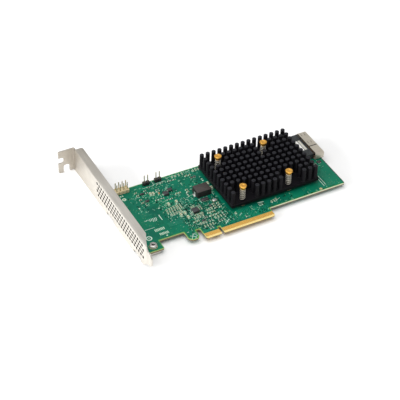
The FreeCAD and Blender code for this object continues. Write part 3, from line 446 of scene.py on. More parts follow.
BRUSHED_FINISHES = (
    # name, dark, light, roughness, streaks per metre along each axis, metal
    ("screw_steel", (0.50, 0.49, 0.46), (0.74, 0.73, 0.69), 0.3, (900.0, 900.0, 200.0)),
    ("shell_metal", (0.54, 0.49, 0.40), (0.68, 0.63, 0.53), 0.34, (150.0, 2600.0, 2600.0), 0.7),
    ("plate_metal", (0.74, 0.72, 0.62), (0.92, 0.90, 0.82), 0.3, (150.0, 2600.0, 2600.0), 0.7),
    # near-white strip on the rear plate: painted highlight along its bend
    ("plate_bright", (0.88, 0.87, 0.83), (0.96, 0.95, 0.91), 0.4, (150.0, 2600.0, 2600.0), 0.1),
    ("terminal_tin", (0.55, 0.56, 0.54), (0.80, 0.81, 0.78), 0.3, (900.0, 900.0, 300.0), 0.8),
    ("spring_steel", (0.58, 0.55, 0.46), (0.80, 0.76, 0.66), 0.28, (2000.0, 2000.0, 300.0), 0.85),
)


def make_finishes(tones):
    """Every material that the card uses."""
    mask_finish(tones)
    laminate_finish()
    rim_finish()
    bracket_finish(tones)
    for row in PLAIN_FINISHES:
        plain_finish(*row)
    for row in BRUSHED_FINISHES:
        brushed_finish(*row)
    plain_finish("contact_gold", tones.gold_deep, tones.gold_pale, 0.32, 0.55, 1400.0)
    plain_finish(
        "black_anodised", tones.sink_deep, tones.sink_pale, 0.46, 0.0, 500.0, 9000.0, Specular_IOR_Level=0.14,
    )
    # pin tops a little paler than the rest of the sink: painted light on the top faces
    plain_finish(
        "lit_pin_tops", (0.005, 0.005, 0.008), (0.016, 0.016, 0.020), 0.36, 0.0, 900.0, 9000.0,
        Specular_IOR_Level=0.2,
    )
    plain_finish("push_pin_brass", tones.brass_deep, tones.brass_pale, 0.26, 0.8, 700.0)
    plain_finish("header_cream", tones.header_deep, tones.header_pale, 0.5, 0.0, 420.0)
    plain_finish(
        "led_amber", (0.40, 0.12, 0.04), (0.60, 0.24, 0.09), 0.2, 0.0, 900.0, Transmission_Weight=0.15,
    )
    plain_finish(
        "dark_marks", (0.000, 0.008, 0.006), (0.001, 0.026, 0.016), 0.6, 0.0, 2600.0, Specular_IOR_Level=0.1,
    )


# --- mesh helpers -----------------------------------------------------------------------------


def piece(name, bm, finishes, nodes=(), angle=35.0):
    """Make an object from a bmesh, give it its finishes and let it ride with the card."""
    bmesh.ops.recalc_face_normals(bm, faces=bm.faces[:])
    mesh = bpy.data.meshes.new(name)
    bm.to_mesh(mesh)
    bm.free()
    made = bpy.data.objects.new(name, mesh)
    bpy.context.scene.collection.objects.link(made)
    for finish in finishes:
        mesh.materials.append(FINISHES[finish])
    mesh.polygons.foreach_set("use_smooth", [True] * len(mesh.polygons))
    mesh.set_sharp_from_angle(angle=math.radians(angle))
    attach(made, "root")
    if nodes:
        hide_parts(*nodes)


def dress(node, finish):
    """Give a carried-over solid its finish."""
    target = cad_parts[node]
    target.data.materials.clear()
    target.data.materials.append(FINISHES[finish])


def paint(verts, index):
    """Give every face round some corners a material index."""
    for face in {face for vert in verts for face in vert.link_faces}:
        face.material_index = index


def block(bm, low, high, edge=0.0, index=0, segments=2):
    """Add a box between two corners in millimetres, with its edges rounded."""
    size = [b - a for a, b in zip(low, high)]
    middle = Vector([(a + b) / 2 * MM for a, b in zip(low, high)])
    matrix = Matrix.Translation(middle) @ Matrix.Diagonal([max(s, 1e-4) * MM for s in size] + [1.0])
    made = bmesh.ops.create_cube(bm, size=1.0, matrix=matrix)
    paint(made["verts"], index)
    if edge > 0.0:
        edges = list({line for vert in made["verts"] for line in vert.link_edges})
        bmesh.ops.bevel(
            bm, geom=edges, offset=min(edge, 0.45 * min(size)) * MM, offset_type="OFFSET",
            segments=segments, affect="EDGES", profile=0.5, material=-1,
        )


def join(bm, part):
    """Add one bmesh to another and free it."""
    mesh = bpy.data.meshes.new("joined")
    part.to_mesh(mesh)
    part.free()
    bm.from_mesh(mesh)
    bpy.data.meshes.remove(mesh)


def lathe(bm, profile, middle, sides=24, index=0):
    """Spin (radius, level) pairs in millimetres round the Z axis at a place on the board."""
    part = bmesh.new()
    corners = [part.verts.new((radius * MM, 0.0, level * MM)) for radius, level in profile]
    lines = [part.edges.new(pair) for pair in zip(corners, corners[1:])]
    bmesh.ops.spin(
        part, geom=corners + lines, cent=(0.0, 0.0, 0.0), axis=(0.0, 0.0, 1.0),
        angle=2 * math.pi, steps=sides, use_merge=True,
    )
    bmesh.ops.remove_doubles(part, verts=part.verts[:], dist=1e-7)
    bmesh.ops.edgeloop_fill(part, edges=[line for line in part.edges if line.is_boundary])
    for face in part.faces:
        face.material_index = index
    bmesh.ops.translate(part, verts=part.verts[:], vec=Vector((middle[0], middle[1], 0.0)) * MM)
    join(bm, part)


def prism(bm, outline, low, high, index=0):
    """Extrude a flat outline (x, y in millimetres) from one level to another; gives the top face."""
    base = bm.faces.new([bm.verts.new((x * MM, y * MM, low * MM)) for x, y in outline])
    grown = bmesh.ops.extrude_face_region(bm, geom=[base], use_keep_orig=True)["geom"]
    raised = [item for item in grown if isinstance(item, bmesh.types.BMVert)]
    bmesh.ops.translate(bm, verts=raised, vec=(0.0, 0.0, (high - low) * MM))
    base.material_index = index
    paint(raised, index)
    return next(item for item in grown if isinstance(item, bmesh.types.BMFace))


def ribbon(bm, points, width, low, high, index=0):
    """A flat strip with mitred corners along points in millimetres."""
    left, right = [], []
    for place, point in enumerate(points):
        before = Vector(points[max(place - 1, 0)])
        after = Vector(points[min(place + 1, len(points) - 1)])
        here = Vector(point)
        first = (here - before).normalized() if place else (after - here).normalized()
        second = (after - here).normalized() if place < len(points) - 1 else first
        across = Vector((-(first + second).y, (first + second).x)).normalized()
        reach = width / 2 / max(0.5, across.dot(Vector((-first.y, first.x))))
        left.append(here + across * reach)
        right.append(here - across * reach)
    prism(bm, [tuple(p) for p in left + right[::-1]], low, high, index)


def rounded(points, steps=5):
    """Round the corners of (x, y, radius) points."""
    done = []
    count = len(points)
    for place, (x, y, radius) in enumerate(points):
        here = Vector((x, y))
        if radius <= 0.0:
            done.append((x, y))
            continue
        before = (Vector(points[place - 1][:2]) - here)
        after = (Vector(points[(place + 1) % count][:2]) - here)
        half = before.angle(after) / 2
        back = min(radius / math.tan(half), 0.48 * before.length, 0.48 * after.length)
        radius = back * math.tan(half)
        centre = here + (before.normalized() + after.normalized()).normalized() * (radius / math.sin(half))
        start = here + before.normalized() * back - centre
        sweep = start.angle_signed(here + after.normalized() * back - centre)
        for step in range(steps + 1):
            turn = -sweep * step / steps
            spot = centre + Matrix.Rotation(turn, 2) @ start
            done.append((spot.x, spot.y))
    return done


def ring_of(x, y, radius, sides):
    """Corners of a circle."""
    return [
        (x + radius * math.cos(2 * math.pi * side / sides),
         y + radius * math.sin(2 * math.pi * side / sides))
        for side in range(sides)
    ]


def inside(x, y, outline):
    """Tell whether a point lies inside an outline."""
    hit = False
    for (ax, ay), (bx, by) in zip(outline, outline[1:] + outline[:1]):
        if (ay > y) != (by > y) and x < (bx - ax) * (y - ay) / (by - ay) + ax:
            hit = not hit
    return hit


def tiled(outline, holes, lines=()):
    """Triangulate an outline with holes, keeping extra lines; gives points and triangles."""
    points, edges = [], []
    for loop in [outline] + list(holes):
        start = len(points)
        points.extend(Vector(p) for p in loop)
        edges.extend((start + i, start + (i + 1) % len(loop)) for i in range(len(loop)))
    for line in lines:
        start = len(points)
        points.extend((Vector(line[0]), Vector(line[1])))
        edges.append((start, start + 1))
    result = geometry.delaunay_2d_cdt(points, edges, [], 0, 1e-5)
    spots = [(p.x, p.y) for p in result[0]]
    boxes = [
        (min(p[0] for p in h), max(p[0] for p in h), min(p[1] for p in h), max(p[1] for p in h), h)
        for h in holes
    ]
    kept = []
    for face in result[2]:
        x = sum(spots[i][0] for i in face) / len(face)
        y = sum(spots[i][1] for i in face) / len(face)
        if not inside(x, y, outline):
            continue
        if any(a < x < b and c < y < d and inside(x, y, h) for a, b, c, d, h in boxes):
            continue
        kept.append(face)
    return spots, kept


def shell(bm, spots, faces, upper, lower, index_of=None, wall_index=0):
    """Extrude a triangulated sheet, then carry its two sides to their own surfaces."""
    corners = [bm.verts.new((x, y, 0.0)) for x, y in spots]
    sheet = [bm.faces.new([corners[i] for i in face]) for face in faces]
    grown = bmesh.ops.extrude_face_region(bm, geom=sheet, use_keep_orig=True)["geom"]
    raised = [item for item in grown if isinstance(item, bmesh.types.BMVert)]
    tops = {item for item in grown if isinstance(item, bmesh.types.BMFace)}
    paint(raised, wall_index)
    for face in list(tops) + sheet:
        spot = face.calc_center_median()
        face.material_index = index_of(spot.x, spot.y) if index_of else 0
    for verts, surface in ((raised, upper), (corners, lower)):
        for vert in verts:
            vert.co = Vector(surface(vert.co.x, vert.co.y)) * MM
    bmesh.ops.delete(bm, geom=[vert for vert in corners if not vert.link_faces], context="VERTS")


def strip(bm, left, right, front, back, top, deep, proud, index=1):
    """A thin strip let into a flat top, standing proud of it by a hair."""
    block(bm, (left, front, top - deep), (right, back, top + proud), 0.0, index)


def washer(bm, middle, outer, inner, low, high):
    """A flat ring between two levels; outer and inner are a radius and a number of sides."""
    spots, faces = tiled(ring_of(*middle, *outer), [ring_of(*middle, *inner)])
    shell(bm, spots, faces, lambda x, y: (x, y, high), lambda x, y: (x, y, low))


def round_box(low, high, inset, radius, steps):
    """A rectangle with round corners, drawn in by an inset."""
    left, front, right, back = low[0] + inset, low[1] + inset, high[0] - inset, high[1] - inset
    corners = (left, front), (right, front), (right, back), (left, back)
    return rounded([corner + (radius,) for corner in corners], steps)


def solids_of(node):
    """Boxes (low, high) in millimetres of the separate solids in a node, in a fixed order."""
    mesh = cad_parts[node].data
    bm = bmesh.new()
    bm.from_mesh(mesh)
    bmesh.ops.remove_doubles(bm, verts=bm.verts[:], dist=1e-7)
    left = set(bm.verts)
    boxes = []
    while left:
        stack = [left.pop()]
        members = []
        while stack:
            vert = stack.pop()
            members.append(vert.co.copy())
            for line in vert.link_edges:
                other = line.other_vert(vert)
                if other in left:
                    left.remove(other)
                    stack.append(other)
        low = [min(p[i] for p in members) / MM for i in range(3)]
        high = [max(p[i] for p in members) / MM for i in range(3)]
        boxes.append((low, high))
    bm.free()
    return sorted(boxes, key=lambda box: (round(box[0][0], 3), round(box[0][1], 3)))


def centres(node):
    """Middles (x, y) in millimetres of the separate solids in a node."""
    return [((low[0] + high[0]) / 2, (low[1] + high[1]) / 2) for low, high in solids_of(node)]


def span(node):
    """A node's box in millimetres."""
    low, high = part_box(node)
    return [c / MM for c in low], [c / MM for c in high]


# --- circuit board ----------------------------------------------------------------------------


def board_outline(grow=0.0):
    """The board's outline, moved outwards by an amount (inwards when it is negative)."""
    low, high = span("circuit_board")
    left, right, top = low[0] - grow, high[0] + grow, high[1] + grow
    return rounded((
        (left, 3.80 - grow, 0.5), (-41.30 + grow, 3.80 - grow, 0.5), (-41.30 + grow, 11.95 - grow, 0.8),
        (-23.10 - grow, 11.95 - grow, 0.8), (-23.10 - grow, 4.80 - grow, 0.3),
        (-20.90 - grow, 2.60 - grow, 0.3), (-17.26 + grow, 2.60 - grow, 0.3),
        (-15.50 + grow, 4.58 - grow, 0.3), (-15.50 + grow, 10.40 - grow, 0.8),
        (-12.15 - grow, 10.40 - grow, 0.8), (-12.15 - grow, 0.90 - grow, 0.15),
        (-11.25 - grow, -grow, 0.15), (-0.95 + grow, -grow, 0.0),
        (-0.95 + grow, 6.90 - grow, 0.8), (0.95 - grow, 6.90 - grow, 0.8), (0.95 - grow, -grow, 0.0),
        (38.25 + grow, -grow, 0.15), (39.15 + grow, 0.90 - grow, 0.15),
        (39.15 + grow, 8.25 - grow, 0.8), (right, 8.25 - grow, 0.8), (right, top, 0.8), (left, top, 0.8),
    ))


DRILLED = (
    ("bracket_screws", 1.6), ("push_pins", 1.55), ("service_header_pins", 0.5),
    ("left_jumper_pins", 0.5), ("right_jumper_pins", 0.5),
)


def board_holes():
    """Drilled holes: (x, y, radius)."""
    holes = [(x, y, radius) for node, radius in DRILLED for x, y in centres(node)]
    return holes + [EXTRA_HOLE + (0.55,)]


def build_board(settings):
    """The laminate with its masked faces, bare margin, bevelled tab and drilled holes."""
    rim = settings.rim / MM
    outline = board_outline()
    inner = board_outline(-rim)
    holes = [ring_of(x, y, radius, 24) for x, y, radius in board_holes()]
    lines = list(zip(inner, inner[1:] + inner[:1]))
    for y in (BEVEL, TAB_TOP):
        lines += [((-12.2, y), (-0.9, y)), ((0.9, y), (39.2, y))]
    spots, faces = tiled(outline, holes, lines)

    def dip(x, y):
        """Thickness taken off each face near the tab's edge."""
        return max(0.0, 0.5 * (BEVEL - y) / BEVEL) if TAB_LEFT < x < TAB_RIGHT else 0.0

    def area(x, y):
        """Mask, margin or bare laminate."""
        if TAB_LEFT < x < TAB_RIGHT and y < TAB_TOP:
            return 3 if y < BEVEL else 4
        return 0 if inside(x, y, inner) else 1

    bm = bmesh.new()
    shell(
        bm, spots, faces, lambda x, y: (x, y, -dip(x, y)), lambda x, y: (x, y, dip(x, y) - BOARD_THICK),
        area, 2,
    )
    piece(
        "board", bm, ("solder_mask", "board_rim", "laminate", "bare_laminate", "tab_laminate"),
        ("circuit_board",), 20.0,
    )


PADS = (
    # x, y, length, width of tinned pads that carry no part
    (-44.8, 62.6, 0.9, 1.3), (-43.3, 62.6, 0.9, 1.3), (-27.0, 40.6, 1.3, 0.7),
    (12.8, 55.2, 1.2, 0.8), (12.8, 53.4, 1.2, 0.8),
    (-38.8, 46.0, 0.9, 1.2), (-34.2, 14.0, 1.0, 1.0),
)

INK_LINES = (
    # printed outlines and strokes: width, then points
    (0.28, ((-45.2, 24.6), (-38.2, 24.6))),
    (0.55, ((-30.2, 29.0), (-30.2, 34.6))),
    (0.42, ((5.6, 7.0), (9.6, 10.4))),
    (0.60, ((34.6, 16.1), (38.9, 15.7))),
    (0.35, ((84.2, 11.6), (84.2, 20.6))),
    (0.35, ((85.9, 12.4), (85.9, 22.6))),
    (0.36, ((-21.4, 3.4), (-18.4, 7.6))),
    (0.36, ((-21.2, 6.8), (-17.6, 4.2))),
    (0.36, ((-19.0, 3.0), (-16.6, 5.6))),
    (0.36, ((-18.8, 7.8), (-16.4, 6.4))),
    (0.22, ((-28.2, 63.6), (-19.6, 63.6))),
    (0.22, ((-19.2, 68.4), (-19.2, 64.6), (-11.2, 64.6))),
    (0.22, ((-36.6, 56.8), (-33.4, 56.8))),
    (0.22, ((-9.6, 24.2), (-9.6, 29.6), (-4.0, 29.6))),
    (0.22, ((1.2, 32.6), (1.2, 36.9), (7.6, 36.9))),
    (0.22, ((12.4, 36.8), (12.4, 50.8))),
    (0.22, ((17.6, 10.2), (20.2, 12.0))),
    (0.26, ((84.6, 44.6), (84.6, 60.0))),
    (0.22, ((46.0, 12.0), (50.8, 14.6))),
)


MARK_FIELDS = (
    # left, right, front, back, number of fine marks, share of them that is dark
    (-27.0, -5.0, 25.0, 43.0, 210, 0.45), (-18.0, 14.0, 7.5, 36.0, 420, 0.5),
    (-34.0, -8.0, 45.0, 66.0, 170, 0.35), (-3.0, 13.0, 36.0, 66.0, 90, 0.4),
    (-42.0, -30.0, 40.0, 60.0, 40, 0.3), (14.0, 60.0, 6.0, 14.5, 70, 0.5),
    (86.0, 97.0, 30.0, 38.0, 26, 0.5), (-10.0, 17.0, 65.0, 68.2, 60, 0.1),
    (17.0, 82.0, 65.5, 68.2, 60, 0.3), (60.0, 96.0, 5.0, 10.0, 26, 0.5),
)


def comb(bm, x, y, count, pitch, tall, width):
    """A row of equal pads."""
    for place in range(count):
        middle = x + place * pitch
        block(bm, (middle - width / 2, y - tall / 2, PAD_LOW), (middle + width / 2, y + tall / 2, PAD_HIGH))


def build_marks(settings):
    """Printed ink, plated pads, rings and the small holes that show on the mask."""
    high = settings.ink / MM
    bm = bmesh.new()
    for width, points in INK_LINES:
        ribbon(bm, points, width, COAT_LOW, high)
    for start, step, count, y, tall in (
        (-41.2, 1.05, 3, 32.8, 0.8), (-38.0, 1.15, 5, 32.2, 2.4), (-36.2, 1.1, 3, 30.4, 0.9),
    ):
        for place in range(count):
            x = start + place * step
            ribbon(bm, ((x, y - tall / 2), (x + 0.35, y + tall / 2)), 0.42, COAT_LOW, high)
    washer(bm, MARK_RING, (2.15, 40), (1.35, 32), COAT_LOW, high)
    for low, top in solids_of("chip_capacitors")[::3]:
        x, y = low[0] - 0.35, (low[1] + top[1]) / 2
        ribbon(bm, ((x, low[1] - 0.1), (x, top[1] + 0.1)), 0.16, COAT_LOW, high)
    rng = random.Random(settings.seed + 1)
    solid_boxes = occupied_boxes(0.5)
    for _ in range(46):
        x, y = rng.uniform(-30.0, 14.0), rng.uniform(8.0, 66.0)
        if clear_of(x, y, 1.0, solid_boxes):
            tilt = rng.choice(((0.9, 0.0), (0.0, 0.9), (0.6, 0.0)))
            ribbon(bm, ((x, y), (x + tilt[0], y + tilt[1])), 0.24, COAT_LOW, high)
    piece("printed_marks", bm, ("white_ink",))

    bm = bmesh.new()
    solid_boxes = occupied_boxes(0.2)
    for left, right, front, back, count, dark in MARK_FIELDS:
        for _ in range(count):
            x, y = rng.uniform(left, right), rng.uniform(front, back)
            reach = rng.choice(((0.8, 0.0), (0.0, 0.8), (0.5, 0.5), (1.5, 0.0), (0.0, 1.4)))
            index = 1 if rng.random() < dark else 0
            if clear_of(x, y, 0.2, solid_boxes):
                ribbon(bm, ((x, y), (x + reach[0], y + reach[1])), 0.55 if index else 0.24, COAT_LOW,
                       0.014 + 0.003 * index, index)
    for _ in range(16):
        x, y = rng.uniform(-11.0, 38.0), rng.uniform(4.9, 5.6)
        if not -1.6 < x < 1.6:
            block(bm, (x, y, -0.005), (x + 0.55, y + 0.45, 0.014), 0.0, 1)
    piece("fine_marks", bm, ("pale_marks", "dark_marks"))

    bm = bmesh.new()
    for x, y, size_x, size_y in PADS:
        low, top = (x - size_x / 2, y - size_y / 2, PAD_LOW), (x + size_x / 2, y + size_y / 2, PAD_HIGH)
        block(bm, low, top, 0.02)
    comb(bm, -39.2, 21.4, 7, 1.05, 2.4, 0.6)
    comb(bm, -37.8, 16.8, 7, 0.95, 2.2, 0.55)
    prism(bm, ring_of(*MARK_RING, 0.45, 16), PAD_LOW, PAD_HIGH)
    washer(bm, EXTRA_HOLE, (1.4, 32), (0.58, 24), PAD_LOW, PAD_HIGH)
    for node, size in (("chip_capacitors", 0.18), ("chip_resistors", 0.16), ("block_capacitors", 0.25)):
        for low, top in solids_of(node):
            along = 0 if top[0] - low[0] > top[1] - low[1] else 1
            near, far = low[along], top[along]
            part = 0.34 * (far - near)
            for start, end in ((near - size, near + part), (far - part, far + size)):
                a, b = [low[0] - 0.05, low[1] - 0.05, PAD_LOW], [top[0] + 0.05, top[1] + 0.05, 0.07]
                a[along], b[along] = start, end
                block(bm, a, b, 0.03)
    piece("solder_pads", bm, ("solder",))

    bm = bmesh.new()
    prism(bm, ring_of(80.5, 9.9, 1.15, 6), -0.005, 0.05)
    for node, hole, outer in (
        ("bracket_screws", 1.6, 2.95), ("push_pins", 1.56, 2.5), ("service_header_pins", 0.51, 0.85),
        ("left_jumper_pins", 0.51, 0.85), ("right_jumper_pins", 0.51, 0.85),
    ):
        for middle in centres(node):
            washer(bm, middle, (outer, 28), (hole, 24), COAT_LOW, 0.03)
            washer(bm, middle, (outer, 28), (hole, 24), -1.60, COAT_LOW - 1.56)
    piece("plated_rings", bm, ("pad_gold",))


def occupied_boxes(margin):
    """Footprints on the component side that printed details stay clear of."""
    boxes = []
    for node in (
        "block_capacitors", "chip_capacitors", "chip_resistors", "small_transistors", "flash_chip",
        "clock_crystal", "status_led", "line_driver", "buck_inductor", "supply_inductors",
        "power_inductor", "service_header", "left_jumper_header", "right_jumper_header",
        "bracket_screws", "push_pins", "controller_substrate", "socket_shell", "socket_housing",
    ):
        for low, high in solids_of(node):
            boxes.append((low[0] - margin, high[0] + margin, low[1] - margin, high[1] + margin))
    boxes.append((-49.0, -43.0, 13.5, 19.5))
    boxes.append((-41.0, -31.0, 14.8, 23.6))
    boxes.append((-46.0, -42.0, 56.8, 60.8))
    return boxes


def clear_of(x, y, edge, boxes):
    """Tell whether a spot is on open mask, away from the outline and the parts."""
    ring = board_outline(-edge)
    if not inside(x, y, ring) or (y < 6.0 and TAB_LEFT - 0.2 < x < TAB_RIGHT + 0.2):
        return False
    return not any(a < x < b and c < y < d for a, b, c, d in boxes)


BUSES = (
    # parallel copper lines: how many, then x, y and their steps from line to line for each point
    (9, ((-10.5, 4.62, 1.0, 0.0), (-10.5, 6.6, 1.0, 0.3), (-12.5, 8.6, 1.0, 0.3))),
    (7, ((-29.0, 21.0, 0.0, 0.55), (-20.0, 21.0, -0.5, 0.55), (-16.0, 25.0, -0.5, 0.55))),
    (8, ((87.6, 10.4, 0.6, 0.0), (87.6, 24.0, 0.6, 0.6), (89.0, 25.4, 0.6, 0.6))),
    (9, ((-41.0, 36.6, 0.7, 0.0), (-41.0, 44.0, 0.7, 0.7), (-39.0, 46.0, 0.7, 0.7))),
    (6, ((-11.0, 36.0, 0.0, 0.6), (-4.0, 36.0, 0.0, 0.6), (-2.0, 38.0, 0.0, 0.6))),
)


def build_traces(settings):
    """Copper lines that stand a little under the mask, and the small plated holes."""
    bm = bmesh.new()
    width = settings.trace / MM
    for place in range(37):
        x = 1.5 + place
        if place % 3 == 2:
            continue
        rise = 5.6 + 0.16 * abs(place - 18)
        reach = (42.7 - x) * 0.42
        top = rise + abs(reach)
        ribbon(bm, ((x, 4.62), (x, rise), (x + reach, min(top, 15.6))), width, COAT_LOW, LINE_HIGH)
    for count, points in BUSES:
        for place in range(count):
            ribbon(bm, [(x + a * place, y + b * place) for x, y, a, b in points], width, COAT_LOW, LINE_HIGH)
    piece("copper_lines", bm, ("board_trace",))

    bm = bmesh.new()
    rng = random.Random(settings.seed)
    boxes = occupied_boxes(0.35)
    radius = settings.via / MM
    used = set()
    for _ in range(620):
        x, y = rng.uniform(-56.0, 97.5), rng.uniform(4.0, 68.0)
        column, row = round(x / 0.5), round(y / 0.5)
        x, y = column * 0.5, row * 0.5
        beside = {(column + a, row + b) for a in (-1, 0, 1) for b in (-1, 0, 1)}
        if clear_of(x, y, 0.9, boxes) and not used & beside:
            used.add((column, row))
            lathe(bm, ((radius * 1.5, -0.005), (radius * 1.5, 0.02), (radius * 0.7, 0.025)), (x, y), 8)
    piece("small_holes", bm, ("via_rings",))


# --- bracket ----------------------------------------------------------------------------------


def build_bracket(settings):
    """The bracket, laid out flat, cut, and folded over its bends with true thickness."""
    low, high = span("bracket")
    sheet, bend, vent = settings.sheet / MM, settings.bend / MM, settings.vent / MM
    arc = bend * math.pi / 2
    face = -58.60 + sheet / 2
    tab_level = high[1] - sheet / 2
    fold_a = high[2] - sheet / 2 - bend
    fold_b = tab_level - bend
    lug_level = -BOARD_THICK - sheet / 2
    fold_c = lug_level + bend
    flange_edge = fold_a + arc + (-52.70 - face - bend)
    tab_edge = fold_b + arc + (face - bend - low[0])
    lug_edge = fold_c - arc - (-43.0 - face - bend)
    screws = centres("bracket_screws")
    relief, ear, slot = 106.4, 4.5, 5.4  # end of the flange; half widths of an ear and of its cut

    def tab_at(x):
        """Flat coordinate of a place on the screw tab."""
        return fold_b + arc + (face - bend - x)

    points = [
        (low[2], 0.6, 1.2), (0.305, -5.6, 0.6), (0.305, -8.3, 0.4), (2.7, low[1], 0.5),
        (8.1, low[1], 0.5), (10.495, -8.3, 0.4), (10.495, -6.0, 0.3),
        (fold_a + 0.8 * arc, -4.6, 0.6), (fold_a + arc + 0.9, -1.5, 1.5), (fold_a + arc + 2.2, 1.8, 1.5),
        (flange_edge, 7.4, 2.0), (flange_edge, relief, 1.6), (fold_a - 0.2, relief, 0.0),
        (fold_a - 0.2, relief + 0.5, 0.0), (high[2], relief + 0.5, 0.0),
        (high[2], tab_edge, 0.9),
        (8.61, tab_edge, 0.35), (8.61, tab_at(-66.13), 1.5), (4.19, tab_at(-66.13), 1.5),
        (4.19, tab_edge, 0.35),
        (low[2], tab_edge, 1.0), (low[2], tab_at(-66.4), 0.8), (2.02, tab_at(-66.4), 1.6),
        (2.02, tab_at(-61.8), 2.2), (low[2], tab_at(-61.8), 0.6),
    ]
    for _, y in sorted(screws, key=lambda spot: -spot[1]):
        points += [
            (low[2], y + slot, 0.2), (lug_level + 0.5, y + slot, 0.3), (lug_level + 0.5, y + ear, 0.3),
            (lug_edge, y + ear, 1.5), (lug_edge, y - ear, 1.5),
            (lug_level + 0.5, y - ear, 0.3), (lug_level + 0.5, y - slot, 0.3), (low[2], y - slot, 0.2),
        ]
    outline = rounded(points, 6)
    vents = [
        (2.6 + 3.0 * row, -0.4 + (column + 0.5 * (row % 2)) * 3.25)
        for row in range(4) for column in range(22)
    ]
    holes = [ring_of(z, y, vent, settings.vent_sides) for z, y in vents]
    for x, y in screws:
        holes.append(ring_of(fold_c - arc - (x - face - bend), y, 1.5, 24))
    lines = []
    steps = 5
    for step in range(steps + 1):
        lines.append(((fold_a + arc * step / steps, -5.0), (fold_a + arc * step / steps, relief)))
        lines.append(((low[2], fold_b + arc * step / steps), (high[2], fold_b + arc * step / steps)))
        for _, y in screws:
            lines.append(((fold_c - arc * step / steps, y - ear), (fold_c - arc * step / steps, y + ear)))
    for y in (-5.0, -5.4, -5.8, -6.2, -6.6):
        lines.append(((0.0, y), (11.0, y)))
    spots, faces = tiled(outline, holes, lines)

    def bent(past):
        """Way out, way along and turn at a flat distance past the start of a bend."""
        turn = min(past / bend, math.pi / 2)
        return bend * (1 - math.cos(turn)) + max(0.0, past - arc), bend * math.sin(turn), turn

    def place(a, b, side):
        """Fold a flat point; side is the distance from the sheet's middle."""
        x, y, z, normal = face, b, a, Vector((-1.0, 0.0, 0.0))
        on_lug = a < fold_c and any(abs(b - spot[1]) < 4.7 for spot in screws)
        if b > fold_b:
            out, along, turn = bent(b - fold_b)
            x, y = face - out, fold_b + along
            normal = Vector((-math.cos(turn), -math.sin(turn), 0.0))
        elif a > fold_a and b < relief + 0.2:
            out, along, turn = bent(a - fold_a)
            x, z = face + out, fold_a + along
            normal = Vector((-math.cos(turn), 0.0, math.sin(turn)))
        elif on_lug:
            out, along, turn = bent(fold_c - a)
            x, z = face + out, fold_c - along
            normal = Vector((-math.cos(turn), 0.0, -math.sin(turn)))
        elif b < -5.0:
            share = min((-5.0 - b) / 1.6, 1.0)
            x += 0.9 * share * share * (3 - 2 * share)
        return Vector((x, y, z)) + normal * side

    bm = bmesh.new()
    shell(bm, spots, faces, lambda a, b: place(a, b, sheet / 2), lambda a, b: place(a, b, -sheet / 2))
    bm.normal_update()
    # the vent holes' walls take the dark finish: painted shade inside the holes
    for poly in bm.faces:
        spot = poly.calc_center_median() / MM
        if abs(poly.normal.x) < 0.3 and any(math.hypot(spot.y - y, spot.z - z) < vent for z, y in vents):
            poly.material_index = 1
    for x, y in screws:
        under = -BOARD_THICK - sheet
        lathe(bm, (
            (1.5, under + 0.02), (2.6, under + 0.02), (2.3, under - 0.25), (2.25, under - 0.8),
            (2.1, under - 0.9), (1.6, under - 0.9), (1.5, under - 0.8), (1.5, under + 0.02),
        ), (x, y), 28)
    piece("folded_bracket", bm, ("bracket_steel", "vent_walls"), ("bracket",), 30.0)


def build_screws():
    """Pan head screws with a washer face and a dished top, in which dark slabs of painted shade stand for the
    cross recess.
    """
    bm = bmesh.new()
    for low, high in solids_of("bracket_screws"):
        x, y = (low[0] + high[0]) / 2, (low[1] + high[1]) / 2
        reach = (high[0] - low[0]) / 2
        top = high[2]
        profile = [(0.0, low[2]), (1.0, low[2]), (1.42, low[2] + 0.4), (1.42, 0.02), (reach, 0.02)]
        for step in range(7):
            turn = math.pi / 2 * step / 6
            profile.append((reach - 0.85 * (1 - math.cos(turn)), 0.45 + (top - 0.45) * math.sin(turn)))
        profile += [(1.25, top), (0.95, top - 0.35), (0.3, top - 0.9), (0.0, top - 1.0)]
        lathe(bm, profile, (x, y), 32)
        # dark slabs in the dish: painted shade standing for the cross recess
        for turn in (0.5, 0.5 + math.pi / 2):
            made = bmesh.ops.create_cube(bm, size=1.0, matrix=(
                Matrix.Translation(Vector((x, y, top - 0.52)) * MM) @ Matrix.Rotation(turn, 4, "Z")
                @ Matrix.Diagonal((2.3 * MM, 0.42 * MM, 0.9 * MM, 1.0))
            ))
            paint(made["verts"], 1)
    piece("pan_screws", bm, ("screw_steel", "recess_dark"), ("bracket_screws",))


# --- heat sink and push-pins ------------------------------------------------------------------


